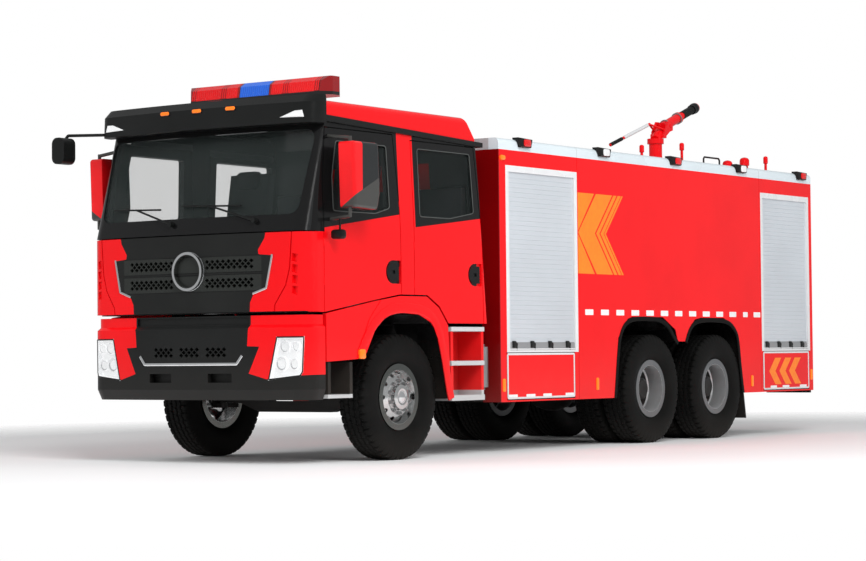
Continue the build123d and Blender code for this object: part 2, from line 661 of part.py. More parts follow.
TUBE_R = 78
with BuildPart() as rear_axles:
    for y in REAR_AXLES:
        hub = hub_plane(0, y)
        with BuildSketch(hub) as half:
            with BuildLine():
                Polyline((-540, 0), (-540, TUBE_R), (-260, TUBE_R), (-170, 200), (-60, 235), (60, 235),
                         (170, 200), (260, TUBE_R), (540, TUBE_R), (540, 0), close=True)
            make_face()
        revolve(half.sketch, axis=Axis(at(0, y, AXLE_Z), (1, 0, 0)))
        rod((-REAR_TRACK_HALF - 150, y, AXLE_Z), (REAR_TRACK_HALF + 150, y, AXLE_Z), SPINDLE_R)
        for s in (1, -1):
            block(s * (RAIL_OUT + SEAT), s * (RAIL_OUT + 85), y - 50, y + 50, AXLE_Z, 665 - SEAT)
    rod((0, 450 + SEAT + 4, 900), (0, 1900, 800), 55)
    rod((0, 1900, 800), (0, WHEELBASE - 150, 640), 55)
    rod((0, WHEELBASE + 150, 660), (0, WHEELBASE + TANDEM - 150, 660), 50)
save(rear_axles, "rear_axles")

# Wheels. Profiles: distance along the axle from the wheel's middle, radius
TREAD_HALF = 122
SHOULDER_HALF = 142
SIDE_HALF = TYRE_WIDTH / 2
TYRE_PROFILE = [(BEAD_HALF, RIM_SEAT_R), (BEAD_HALF, FLANGE_R), (SIDE_HALF - 12, 350), (SIDE_HALF, 430),
                (SHOULDER_HALF + 6, 520), (SHOULDER_HALF - 4, 549), (TREAD_HALF, TYRE_R)]
RIM_WALL = 12


def turned(points, x, y, mode=Mode.ADD):
    """A profile of (along the axle, radius) turned about a wheel's axle."""
    with BuildSketch(hub_plane(x, y)) as profile:
        with BuildLine():
            Polyline(*points, close=True)
        make_face()
    revolve(profile.sketch, axis=Axis(at(x, y, AXLE_Z), (1, 0, 0)), mode=mode)


def tyre_at(x, y):
    """One tyre, its flat tread on the ground's level."""
    turned(TYRE_PROFILE + [(-a, r) for a, r in reversed(TYRE_PROFILE)], x, y)


def rim_barrel(x, y):
    """The rim's well between two flanges that hold the tyre's beads."""
    half = [(BEAD_HALF + SEAT, RIM_SEAT_R - SEAT), (BEAD_HALF + SEAT, FLANGE_R), (BEAD_HALF + FLANGE_WIDTH, FLANGE_R),
            (BEAD_HALF + FLANGE_WIDTH, RIM_SEAT_R - RIM_WALL)]
    turned(half + [(-a, r) for a, r in reversed(half)], x, y)


HAND_HOLES = 10
DRUM_R = 205
with BuildPart() as tyre_front:
    tyre_at(FRONT_TRACK_HALF, 0)
with BuildPart() as rim_front:
    x = FRONT_TRACK_HALF
    rim_barrel(x, 0)
    # Dished disc near the outer flange, its hub cap standing out through it
    turned([(30, RIM_SEAT_R - 6), (50, RIM_SEAT_R - 6), (118, 165), (118, 120), (150, 110), (160, 75), (150, 0),
            (-50, 0), (-50, HUB_R), (98, 120), (98, 155)], x, 0)
    turned([(-60, 0), (110, 0), (110, SPINDLE_R + RUN), (-60, SPINDLE_R + RUN)], x, 0, mode=Mode.SUBTRACT)
    with BuildSketch(Plane(origin=at(x - 60, 0, AXLE_Z), x_dir=(0, 1, 0), z_dir=(1, 0, 0))) as holes:
        with PolarLocations(207, HAND_HOLES):
            Circle(24)
    extrude(holes.sketch, amount=300, mode=Mode.SUBTRACT)

TWINS = {"middle": WHEELBASE, "rear": WHEELBASE + TANDEM}
save(tyre_front, "tyre_front_left")
save(mirrored(tyre_front), "tyre_front_right")
save(rim_front, "rim_front_left")
save(mirrored(rim_front), "rim_front_right")

for place, y in TWINS.items():
    with BuildPart() as tyres:
        for offset_x in (-TWIN_SPACING / 2, TWIN_SPACING / 2):
            tyre_at(REAR_TRACK_HALF + offset_x, y)
    with BuildPart() as rims:
        x = REAR_TRACK_HALF
        for offset_x in (-TWIN_SPACING / 2, TWIN_SPACING / 2):
            rim_barrel(x + offset_x, y)
        # Two discs bolted back to back between the rims, on one hub
        turned([(-TWIN_SPACING / 2 + 30, RIM_SEAT_R - 6), (-12, 170), (-12, 0), (200, 0), (205, 90), (190, 110),
                (60, 120), (40, 150), (12, 170), (TWIN_SPACING / 2 - 30, RIM_SEAT_R - 6),
                (TWIN_SPACING / 2 - 50, RIM_SEAT_R - 6), (0, 190), (-TWIN_SPACING / 2 + 50, RIM_SEAT_R - 6)], x, y)
        turned([(-260, 0), (160, 0), (160, SPINDLE_R + RUN), (-260, SPINDLE_R + RUN)], x, y, mode=Mode.SUBTRACT)
    save(tyres, f"tyres_{place}_left")
    save(mirrored(tyres), f"tyres_{place}_right")
    save(rims, f"rims_{place}_left")
    save(mirrored(rims), f"rims_{place}_right")

with BuildPart() as knuckle:
    web = KINGPIN_X + EYE_R + PART_GAP
    for z0, z1 in ((455, 500), (620, 668)):
        rod((KINGPIN_X, 0, z0), (KINGPIN_X, 0, z1), EYE_R)
        block(KINGPIN_X, web, -EYE_R, EYE_R, z0, z1)
    block(web, web + 23, -70, 70, 455, 668)
    rod((web, 0, AXLE_Z), (FRONT_TRACK_HALF + 90, 0, AXLE_Z), SPINDLE_R)
    rod((web, 40, 475), (KINGPIN_X - 40, 170, 475), 20)
    rod((KINGPIN_X, 0, 440), (KINGPIN_X, 0, 680), KINGPIN_R + RUN, mode=Mode.SUBTRACT)
save(knuckle, "knuckle_left")
save(mirrored(knuckle), "knuckle_right")

# Front fenders: an arch band over each wheel, the panel ahead of it and a stay to the frame
FENDER_OUTER = [(-737, 905), (-560, 1250), (-381, 1424), (-100, FENDER_TOP - 2), (314, FENDER_TOP - 2),
                (505, 1362), (648, 1203), (691, 531)]
FENDER_INNER = [(652, 531), (632, 733), (509, 1040), (403, 1220), (188, 1299), (-115, 1315), (-295, 1287),
                (-473, 1163), (-607, 956)]
LINER = [(y * 1.025, z + 10) for y, z in FENDER_INNER]
with BuildPart() as fender:
    side_prism(FENDER_OUTER + FENDER_INNER, 1190, 1245)
    side_prism(LINER + list(reversed(FENDER_INNER)), 800, 1190)
    side_prism([(-1170, 885), (-1170, 1300), (-475, 1411), (-381, 1424), (-560, 1250), (-737, 905)], 1200, 1240)
    block(RAIL_OUT + SEAT, 1200, -760, -720, 940, 980)
    block(RAIL_OUT + SEAT, 1195, 655, 680, 900, 940)
with BuildPart() as fenders:
    add(fender.part)
    mirror(fender.part, about=Plane.YZ)
save(fenders, "fenders")

# Steps: three treads in an open box behind the wheel, one bar in a recess ahead of it
TREADS = [(1150, 1190), (835, 875), (510, 560)]
with BuildPart() as step:
    block(930, 970, 700, 1240, 510, 1190)
    for y in (700, 1200):
        block(930, 1235, y, y + 40, 510, 1190)
    for z0, z1 in TREADS:
        block(930, 1245, 700, 1240, z0, z1)
    block(RAIL_OUT + SEAT, 930, 1100, 1160, 820, 900)
    block(960, 1235, -1150, -800, 570, 600)
    for y in (-1150, -840):
        block(960, 1235, y, y + 40, 570, 880)
    block(RAIL_OUT + SEAT, 970, -1120, -1060, 820, 870)
with BuildPart() as steps:
    add(step.part)
    mirror(step.part, about=Plane.YZ)
save(steps, "cab_steps")

TANKS_X = (880, 1115)
TANK_Y = 1350
TANK_R = 80
TANK_BOTTOM = 625
TANK_TOP = 1005
with BuildPart() as tanks:
    for s in (1, -1):
        for x in TANKS_X:
            rod((s * x, TANK_Y, TANK_BOTTOM), (s * x, TANK_Y, TANK_TOP), TANK_R)
            rod((s * x, TANK_Y, TANK_BOTTOM - 25), (s * x, TANK_Y, TANK_TOP + 25), TANK_R - 30)
        block(s * (RAIL_OUT + SEAT), s * TANKS_X[-1], TANK_Y - 30, TANK_Y + 30, 820, 880)
save(tanks, "air_tanks")

# Superstructure

ARCH_WEB = 1050
ARCHES = [(3583, 440), (3676, 1089), (3871, 1285), (3968, ARCH_TOP), (4592, ARCH_TOP), (4861, 1173),
          (4907, ARCH_WEB), (5070, ARCH_WEB), (5135, 1173), (5278, 1285), (5420, ARCH_TOP), (5922, ARCH_TOP),
          (6139, 1237), (6265, 1089), (6331, 771), (6397, 440)]
SHUTTERS = {"front": (1620, 2907, 950, 2734), "rear": (6820, 8020, 940, 2722)}
FLAPS = {"front": (1620, 2830, 505, 942), "rear": (6850, 7980, 505, 932)}
SHUTTER_DEPTH = 45
FLAP_THICK = 32
FLAP_POCKET = 500
SEAMS = (2912, 6792)
with BuildPart() as body:
    block(-BODY_HALF, BODY_HALF, BODY_FRONT, BODY_REAR, BODY_FLOOR, BODY_TOP)
    for s in (1, -1):
        block(s * LOCKER_INNER, s * BODY_HALF, BODY_FRONT, BODY_REAR, LOCKER_BOTTOM, BODY_FLOOR)
        side_prism(ARCHES, min(s * 560, s * 1300), max(s * 560, s * 1300), mode=Mode.SUBTRACT)
        for y0, y1, z0, z1 in SHUTTERS.values():
            block(s * (BODY_HALF - SHUTTER_DEPTH), s * 1300, y0, y1, z0, z1, mode=Mode.SUBTRACT)
        for y0, y1, z0, z1 in FLAPS.values():
            block(s * (BODY_HALF - FLAP_THICK - SEAT), s * 1300, y0 - PANEL_GAP, y1 + PANEL_GAP,
                  z0 - PANEL_GAP, z1 + PANEL_GAP, mode=Mode.SUBTRACT)
            block(s * (BODY_HALF - FLAP_POCKET), s * 1300, y0 + 40, y1 - 40, z0 + 30, z1 - 30, mode=Mode.SUBTRACT)
        for y in SEAMS:
            block(s * (BODY_HALF - 6), s * 1300, y - 3, y + 3, 400, 2900, mode=Mode.SUBTRACT)
    for s in (1, -1):
        block(s * RAIL_IN, s * RAIL_OUT, BODY_FRONT + 40, 7900, RAIL_TOP + SEAT, BODY_FLOOR)
    block(-560, 560, BODY_REAR - SHUTTER_DEPTH, 8200, 1250, 2600, mode=Mode.SUBTRACT)
save(body, "body_shell")

# Roof: rails along both edges and a deck with two hatch rings between them
RAIL_HIGH = 2990
RAIL_ROUND = 45
DECK = 2925
with BuildPart() as roof:
    block(-BODY_HALF, BODY_HALF, BODY_FRONT, BODY_REAR, BODY_TOP, RAIL_HIGH)
    block(-BODY_HALF + 110, BODY_HALF - 110, BODY_FRONT + 60, BODY_REAR - 60, DECK, RAIL_HIGH + 10, mode=Mode.SUBTRACT)
    for y in (3600, 5200):
        with BuildSketch(plan(DECK)) as ring:
            with Locations((0, y)):
                Circle(280)
        extrude(ring.sketch, amount=60)
    fillet(roof.edges().filter_by(Axis.Y).filter_by(
        lambda e: abs(e.center().X) > BODY_HALF - 1 and e.center().Z > RAIL_HIGH - 1), RAIL_ROUND)
save(roof, "roof_deck")

SLAT_PITCH = 45
SLAT_GROOVE = 3
with BuildPart() as frames:
    for s in (1, -1):
        for y0, y1, z0, z1 in SHUTTERS.values():
            block(s * (BODY_HALF - SHUTTER_DEPTH), s * BODY_HALF, y0, y1, z0, z1)
            block(s * 1100, s * 1300, y0 + 55, y1 - 55, z0 + 20, z1 - 60, mode=Mode.SUBTRACT)
    block(-560, 560, BODY_REAR - SHUTTER_DEPTH, BODY_REAR, 1250, 2600)
    block(-505, 505, 7900, 8200, 1270, 2540, mode=Mode.SUBTRACT)
save(frames, "shutter_frames")


def slats(width_from, width_to, face, z0, z1, step_in, make_prism):
    """A shutter seen edge on: slats with a groove between each two, a thick bottom bar."""
    points = [(face - 24 * step_in, z0), (face + 6 * step_in, z0), (face + 6 * step_in, z0 + 70), (face, z0 + 70)]
    count = int((z1 - z0 - 70) / SLAT_PITCH)
    for i in range(1, count):
        z = z0 + 70 + i * SLAT_PITCH
        points += [(face, z - SLAT_GROOVE), (face - SLAT_GROOVE * step_in, z), (face, z + SLAT_GROOVE)]
    points += [(face, z1), (face - 24 * step_in, z1)]
    make_prism(points, width_from, width_to)


with BuildPart() as shutters:
    for s in (1, -1):
        for y0, y1, z0, z1 in SHUTTERS.values():
            slats(y0 + 55, y1 - 55, s * (BODY_HALF - 16), z0 + 20, z1 - 60, s, front_prism)
    slats(-505, 505, BODY_REAR - 16, 1270, 2540, 1, side_prism)
save(shutters, "roller_shutters")

for place, (y0, y1, z0, z1) in FLAPS.items():
    with BuildPart() as flap:
        block(BODY_HALF - FLAP_THICK, BODY_HALF, y0, y1, z0, z1)
        for y in (y0 + 150, y1 - 250):
            block(BODY_HALF - FLAP_THICK, BODY_HALF - FLAP_THICK + 12, y, y + 100, z1 - 90, z1 - 50, mode=Mode.SUBTRACT)
    save(flap, f"flap_{place}_left")
    save(mirrored(flap), f"flap_{place}_right")

FLAP_SHEET = 16
with BuildPart() as mud_flaps:
    for s in (1, -1):
        face = [(6331 - SEAT, 771), (6397 - SEAT, 440), (6440, 200)]
        sheet = [(y - FLAP_SHEET, z) for y, z in face]
        side_prism(face + list(reversed(sheet)), min(s * 600, s * 1240), max(s * 600, s * 1240))
        block(s * 640, s * 1200, BODY_REAR + SEAT, BUMPER_REAR, 450, 620)
    block(-1200, 1200, BODY_REAR + SEAT, BUMPER_REAR, 560, 620)
save(mud_flaps, "mud_flaps_bumper")

with BuildPart() as ladder:
    for x in (700, 1000):
        rod((x, 8110, 640), (x, 8110, 2950), 15)
    for i in range(8):
        rod((700, 8110, 760 + i * 280), (1000, 8110, 760 + i * 280), 13)
    for z in (800, 1700, 2800):
        for x in (700, 1000):
            rod((x, BODY_REAR + SEAT, z), (x, 8110, z), 10)
save(ladder, "rear_ladder")

# Monitor
MONITOR_Y = 6660
RISER_TOP = 3330
ELBOW = (0, 6860, 3550)
RISE = 20
TILLER_END = (0, 5650, 3256)
with BuildPart() as monitor_base:
    rod((0, MONITOR_Y, DECK + SEAT), (0, MONITOR_Y, DECK + 30), 160)
    rod((0, MONITOR_Y, DECK + 30), (0, MONITOR_Y, RISER_TOP), 75)
save(monitor_base, "monitor_base")

with BuildPart() as monitor_swivel:
    rod((0, MONITOR_Y, RISER_TOP + SEAT), (0, MONITOR_Y, RISER_TOP + 60), 95)
    rod((0, MONITOR_Y, RISER_TOP + 50), (0, MONITOR_Y + 110, 3480), 60)
    with Locations(at(0, MONITOR_Y + 100, 3470)):
        Sphere(60)
    for s in (1, -1):
        side_prism([(MONITOR_Y + 60, 3400), (MONITOR_Y + 60, 3480), (ELBOW[1] - 50, ELBOW[2] + 50),
                    (ELBOW[1] + 50, ELBOW[2] + 50), (ELBOW[1] + 50, ELBOW[2] - 50), (ELBOW[1] - 20, ELBOW[2] - 70)],
                   min(s * 70, s * 90), max(s * 70, s * 90))
    rod((-95, ELBOW[1], ELBOW[2]), (95, ELBOW[1], ELBOW[2]), 20)
    block(-90, 90, MONITOR_Y + 40, MONITOR_Y + 100, 3400, 3450)
    # Tiller that turns the monitor by hand
    for s in (1, -1):
        rod((s * 80, MONITOR_Y + 120, 3490), (0, MONITOR_Y - 140, 3548), 12)
    rod((0, MONITOR_Y - 130, 3551), TILLER_END, 16)
save(monitor_swivel, "monitor_swivel")


def along(distance):
    """A point on the barrel's line, out from the elbow."""
    return (0, ELBOW[1] + distance * cos(radians(RISE)), ELBOW[2] + distance * sin(radians(RISE)))


with BuildPart() as barrel:
    for start, end, radius in ((-40, 330, 55), (330, 360, 68), (360, 700, 42), (700, 800, 58)):
        rod(along(start), along(end), radius)
    rod(along(640), along(820), 34, mode=Mode.SUBTRACT)
    rod((-100, ELBOW[1], ELBOW[2]), (100, ELBOW[1], ELBOW[2]), 20 + RUN, mode=Mode.SUBTRACT)
save(barrel, "monitor_barrel")

# Main mirrors on the front doors


def side_at(z):
    """How far out the cab's side is at a height above the window line."""
    return CAB_HALF - (CAB_HALF - EAVE_HALF) * (z - SKIN_SIDE_BREAK) / (SKIN_EAVE - SKIN_SIDE_BREAK)


MIRROR_DEPTH = 160
MIRROR_ROUND = 30
with BuildPart() as main_mirror:
    with BuildSketch(side(1370)) as head:
        with BuildLine():
            Polyline((-1130, 2200), (-1150, 2770), (-780, 2770), (-760, 2330), (-800, 2190), close=True)
        make_face()
        fillet(head.vertices(), MIRROR_ROUND)
    extrude(head.sketch, amount=MIRROR_DEPTH)
    fillet(main_mirror.faces().sort_by(Axis.X)[-1].edges(), MIRROR_ROUND)
    rod((side_at(2830) + 2.4, -1090, 2830), (1450, -1090, 2800), 16)
    rod((1450, -1090, 2815), (1450, -1090, 2700), 16)
    rod((side_at(2110) + 2.4, -1100, 2110), (1450, -1100, 2130), 16)
    rod((1450, -1100, 2120), (1450, -1100, 2250), 16)
save(main_mirror, "mirror_left")
save(mirrored(main_mirror), "mirror_right")
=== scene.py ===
# %% [markdown]
# Fire truck: the dressed model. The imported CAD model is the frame, in metres, +Z up, +X the
# truck's left side and +Y its rear. Every piece here is a surface worked out with numpy and
# put where the frame says. Materials are procedural and read object coordinates. Sizes of rounded
# outlines are given as width, height, corner radius and points in a corner.

# %% Load the frame
from math import radians

import bmesh
import bpy
import numpy as np
from mathutils import Matrix, Vector


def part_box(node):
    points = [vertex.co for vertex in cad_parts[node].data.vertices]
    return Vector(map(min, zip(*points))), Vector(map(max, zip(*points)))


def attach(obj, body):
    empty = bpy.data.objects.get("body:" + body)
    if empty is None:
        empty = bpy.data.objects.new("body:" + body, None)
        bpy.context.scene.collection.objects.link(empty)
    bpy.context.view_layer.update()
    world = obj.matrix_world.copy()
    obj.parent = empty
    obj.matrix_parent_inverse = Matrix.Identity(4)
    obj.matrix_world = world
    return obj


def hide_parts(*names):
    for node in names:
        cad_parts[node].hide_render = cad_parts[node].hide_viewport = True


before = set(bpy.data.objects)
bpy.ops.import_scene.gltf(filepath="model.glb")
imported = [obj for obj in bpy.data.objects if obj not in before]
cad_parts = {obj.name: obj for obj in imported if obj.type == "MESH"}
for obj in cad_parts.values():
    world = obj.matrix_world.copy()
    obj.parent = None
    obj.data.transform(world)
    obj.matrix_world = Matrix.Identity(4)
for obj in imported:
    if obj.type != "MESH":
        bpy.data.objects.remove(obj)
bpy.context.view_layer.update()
scene = bpy.context.scene
scene.view_settings.view_transform = "Standard"

# %% [markdown]
# Lengths along a truck are easiest to say from its front axle, so the axle's place and the
# wheel's radius are read from the front tyre's box, and Y() turns such a length into the frame's.

# %% Places read from the frame
LOW, HIGH = (np.array(c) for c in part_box("tyre_front_left"))
AXLE_Y = float(LOW[1] + HIGH[1]) / 2
WHEEL_R = float(HIGH[2] - LOW[2]) / 2
REAR_AXLES = {"middle": 4.375, "rear": 5.775}
CAB_HALF = 1.245
BODY_HALF = 1.250


def Y(y):
    """Frame coordinate of a length counted from the front axle."""
    return AXLE_Y + y


print("front axle at", round(AXLE_Y, 4), "wheel radius", round(WHEEL_R, 4))

# %% [markdown]
# The photograph was taken with a long lens from the truck's front left, less than a metre up.
# The camera is given by its place, the way it looks and its focal length in pixels.

# %% Camera
IMAGE_WIDTH = 866
FOCAL_PIXELS = 2439.29
SENSOR_WIDTH = 36
CAMERA_PLACE = Vector((14.0033, Y(-17.7230), 0.9430))
CAMERA_YAW = radians(-35.1234)
CAMERA_PITCH = radians(1.7242)
CAMERA_ROLL = radians(-0.5615)


def add_camera():
    """A camera from yaw about Z, pitch above the horizon and roll about its own axis."""
    ahead = Vector((np.sin(CAMERA_YAW) * np.cos(CAMERA_PITCH), np.cos(CAMERA_YAW) * np.cos(CAMERA_PITCH),
                    np.sin(CAMERA_PITCH)))
    right = ahead.cross(Vector((0, 0, 1))).normalized()
    up = right.cross(ahead)
    turned_right = np.cos(CAMERA_ROLL) * right + np.sin(CAMERA_ROLL) * up
    turned_up = -np.sin(CAMERA_ROLL) * right + np.cos(CAMERA_ROLL) * up
    data = bpy.data.cameras.new("camera")
    data.sensor_width = SENSOR_WIDTH
    data.lens = SENSOR_WIDTH * FOCAL_PIXELS / IMAGE_WIDTH
    data.clip_start, data.clip_end = 0.5, 200
    camera = bpy.data.objects.new("camera", data)
    camera.matrix_world = Matrix.Translation(CAMERA_PLACE) @ Matrix(
        (turned_right, turned_up, -ahead)).transposed().to_4x4()
    scene.collection.objects.link(camera)
    scene.camera = camera
    print("camera lens:", round(data.lens, 1), "mm")


add_camera()

# %% [markdown]
# The light is a plain soft studio. The world is pale and lights from all round, but the camera
# sees it white, through glass too. A large lamp from the front left gives the form, two weaker
# ones open up the right side and the long left side, and a small strip is the one that gloss shows.

# %% Light
PALE = (0.93, 0.94, 0.95, 1)
PURE_WHITE = (1, 1, 1, 1)
WORLD_STRENGTH = 0.42


def add_world():
    """A pale world as light, and a white one for rays from the camera and through glass."""
    world = bpy.data.worlds.new("studio")
    world.use_nodes = True
    tree = world.node_tree
    tree.nodes.clear()
    rays = tree.nodes.new("ShaderNodeLightPath")
    output = tree.nodes.new("ShaderNodeOutputWorld")
    shown = None
    for ray, colour, strength in ((None, PALE, WORLD_STRENGTH), ("Is Transmission Ray", PURE_WHITE, 1.0),
                                  ("Is Camera Ray", PURE_WHITE, 1.0)):
        background = tree.nodes.new("ShaderNodeBackground")
        background.inputs[0].default_value, background.inputs[1].default_value = colour, strength
        if ray:
            mixed = tree.nodes.new("ShaderNodeMixShader")
            tree.links.new(rays.outputs[ray], mixed.inputs[0])
            tree.links.new(shown, mixed.inputs[1])
            tree.links.new(background.outputs[0], mixed.inputs[2])
            shown = mixed.outputs[0]
        else:
            shown = background.outputs[0]
    tree.links.new(shown, output.inputs[0])
    scene.world = world


def add_lamp(name, place, target, size, power, mirrored=False):
    """A square area lamp at a place, facing a target; gloss shows it only if it is mirrored."""
    data = bpy.data.lights.new(name, "AREA")
    data.size, data.energy = size, power
    lamp = bpy.data.objects.new(name, data)
    aim = Vector(target) - Vector(place)
    lamp.matrix_world = Matrix.Translation(place) @ aim.to_track_quat("-Z", "Y").to_matrix().to_4x4()
    lamp.visible_glossy = mirrored
    scene.collection.objects.link(lamp)
    print(name, "lamp:", power, "W")


add_world()
add_lamp("key", (12, -12, 13), (0, -1, 1.5), size=8, power=2300)
add_lamp("fill", (-8, -14, 7), (0, -3, 1.5), size=8, power=700)
add_lamp("side", (15, 2, 6), (0, 2, 1.4), size=8, power=900)
add_lamp("strip", (9, -9, 6), (0, 0, 2.0), size=1.6, power=40, mirrored=True)

# %% [markdown]
# Materials are built from nodes. A mask such as "above the belt line and ahead of the pillar"
# would take eight lines of nodes and links. A Field is one node's output on which Python's own
# signs work, so the same mask reads (height > belt) & (along < pillar), and each sign adds the
# node that it stands for. Nodes adds nodes to a tree and feeds their inputs.

# %% Nodes and fields
PAINT_EDGE = 0.0015


class Nodes:
    """Adds nodes to a tree; an input takes a number, a colour, a socket or a Field."""

    def __init__(self, tree):
        self.tree = tree

    def feed(self, inputs, values):
        """Set or link inputs, given by name or number."""
        for key, value in values.items():
            value = getattr(value, "socket", value)
            if isinstance(value, bpy.types.NodeSocket):
                self.tree.links.new(value, inputs[key])
            else:
                inputs[key].default_value = value

    def add(self, kind, inputs=None, **settings):
        """A new node's outputs."""
        node = self.tree.nodes.new("ShaderNode" + kind)
        for key, value in settings.items():
            setattr(node, key, value)
        self.feed(node.inputs, inputs or {})
        return node.outputs

    def calc(self, operation, a, b=0.0, clamp=False):
        """The result of one arithmetic node."""
        return Field(self, self.add("Math", {0: a, 1: b}, operation=operation, use_clamp=clamp)[0])

    def mix(self, factor, under, over):
        """A colour: under where factor is 0, over where it is 1."""
        under, over = ((*c, 1) if isinstance(c, tuple) else c for c in (under, over))
        return Field(self, self.add("Mix", {0: factor, 6: under, 7: over}, data_type="RGBA")[2])


class Field:
    """A value or colour that changes over the surface: + - * / and abs() add arithmetic nodes.

    > and < give a mask that turns from 0 to 1 over a paint edge's width; & and | join two masks.
    """

    def __init__(self, nodes, socket):
        self.nodes, self.socket = nodes, socket

    def __add__(self, other):
        return self.nodes.calc("ADD", self, other)

    def __sub__(self, other):
        return self.nodes.calc("SUBTRACT", self, other)

    def __rsub__(self, other):
        return self.nodes.calc("SUBTRACT", other, self)

    def __mul__(self, other):
        return self.nodes.calc("MULTIPLY", self, other)

    def __truediv__(self, other):
        return self.nodes.calc("DIVIDE", self, other)

    def __abs__(self):
        return self.nodes.calc("ABSOLUTE", self)

    def __gt__(self, level):
        return self.nodes.calc("ADD", (self - level) / PAINT_EDGE, 0.5, clamp=True)

    def __lt__(self, level):
        return 1.0 - (self > level)

    def __and__(self, other):
        return self * other

    def __or__(self, other):
        return self.nodes.calc("MAXIMUM", self, other)

    def least(self, other):
        """The smaller of two values."""
        return self.nodes.calc("MINIMUM", self, other)

    def within(self, low, high):
        """Mask of the values between two levels."""
        return (self > low) & (self < high)

    def spread(self, low, high, to_low=0.0, to_high=1.0):
        """The value mapped from one range to another and held inside it."""
        return Field(self.nodes, self.nodes.add("MapRange", {
            "Value": self, "From Min": low, "From Max": high, "To Min": to_low, "To Max": to_high})[0])

    def painted(self, mask, colour):
        """This colour with another over it where a mask is 1; a plain number lays it on thin."""
        return self.nodes.mix(mask, self, colour)


def any_of(masks):
    """Union of masks."""
    union, *others = masks
    for mask in others:
        union = union | mask
    return union


def length(a, b):
    """The root of a^2 + b^2."""
    return a.nodes.calc("SQRT", a * a + b * b)


print("paint edge:", 1000 * PAINT_EDGE, "mm wide")

# %% [markdown]
# Zones and patterns are told from where a point lies. Object coordinates suit this, because every
# object here has its origin at the frame's, so that one height means the same on all of them.

# %% Places and materials
class Place:
    """Where a point of the surface is: across, along and height are its object coordinates."""

    def __init__(self, nodes):
        self.nodes = nodes
        self.point = nodes.add("TexCoord")["Object"]
        self.across, self.along, self.height = (
            Field(nodes, part) for part in nodes.add("SeparateXYZ", {0: self.point}))

    @property
    def out(self):
        """How far the point is from the truck's middle plane."""
        return abs(self.across)

    def noise(self, scale, detail=3.0, rough=0.5):
        """Cloudy values from 0 to 1."""
        return Field(self.nodes, self.nodes.add("TexNoise", {
            "Vector": self.point, "Scale": scale, "Detail": detail, "Roughness": rough})["Fac"])

    def reach(self, y, z):
        """Distance from a line across the truck that is y behind the front axle and z up."""
        return length(self.along - Y(y), self.height - z)


def new_material(name):
    """A material, the writer of its nodes and its shader's inputs."""
    material = bpy.data.materials.new(name)
    material.use_nodes = True
    return material, Nodes(material.node_tree), material.node_tree.nodes["Principled BSDF"].inputs


print("object coordinates are the frame's: the front axle lies at y =", round(AXLE_Y, 4))

# %% [markdown]
# Two effects are used by nearly all finishes, so each is a node group with its own inputs: a road
# film that thickens towards the ground, and a skin that gives a fine bump and a soft cloudiness.
# A group is built once, and each material sets its own values on it.

# %% Shared effects
DUST = (0.16, 0.13, 0.105)
DUST_NOISE = (3.5, 6.0, 0.6)
DUST_CLOUDS, DUST_BASE = 0.9, 0.25


def shared_effect(name, inputs, outputs, build):
    """A node group with number inputs; build gets the nodes and the inputs and gives the outputs."""
    tree = bpy.data.node_groups.new(name, "ShaderNodeTree")
    for label, value in inputs.items():
        socket = tree.interface.new_socket(name=label, in_out="INPUT", socket_type="NodeSocketFloat")
        socket.default_value = value
    for label, kind in outputs.items():
        tree.interface.new_socket(name=label, in_out="OUTPUT", socket_type="NodeSocket" + kind)
    nodes = Nodes(tree)
    given = tree.nodes.new("NodeGroupInput").outputs
    nodes.feed(tree.nodes.new("NodeGroupOutput").inputs, build(nodes, given))
    print("effect:", name, len(tree.nodes), "nodes")
    return tree


def road_film(nodes, given):
    """Mask of dust: one at the ground, fading to zero at a height, broken up by noise."""
    at = Place(nodes)
    low = nodes.calc("SUBTRACT", 1.0, at.height / given["Height"], clamp=True)
    cloud = at.noise(*DUST_NOISE) * DUST_CLOUDS + DUST_BASE
    return {"Mask": nodes.calc("MULTIPLY", low * cloud, given["Amount"], clamp=True)}


def fine_skin(nodes, given):
    """Normal of a fine bump and a cloudy value about one half, at two chosen scales."""
    at = Place(nodes)
    bump = nodes.add("Bump", {"Height": at.noise(given["Bump scale"], 2.0), "Distance": given["Bump height"]})
    return {"Normal": bump[0], "Cloud": at.noise(given["Cloud scale"], 4.0)}


ROAD_FILM = shared_effect("road film", {"Height": 1.2, "Amount": 0.5}, {"Mask": "Float"}, road_film)
FINE_SKIN = shared_effect("fine skin", {"Bump scale": 300.0, "Bump height": 0.0002, "Cloud scale": 2.0},
                          {"Normal": "Vector", "Cloud": "Float"}, fine_skin)

# %% [markdown]
# One function makes every finish: a colour that is a little lighter and darker in soft clouds, a
# bump too fine to see as such, a clear coat where the paint has one, and dust over all. A finish
# can take zones, which paint parts of a piece by their place, and a bright part of bare metal.

# %% How a finish is made
CLOUD_RANGE = (0.3, 0.7)
LEAST_ROUGH, MOST_ROUGH = 0.85, 1.15
DIRT_ROUGHNESS, BARE_SMOOTHNESS = 0.5, 0.3
COAT_ROUGHNESS = 0.06
BARE_METAL = (0.82, 0.83, 0.84)
SMEAR_NOISE, SMEAR_RANGE = (2.2, 5.0, 0.6), (0.35, 0.75)
SMEAR_LIGHT, SMEAR_ROUGH = 1.35, 2.2
GLASS_IOR = 1.5
CLOUD_LIFT = 0.01


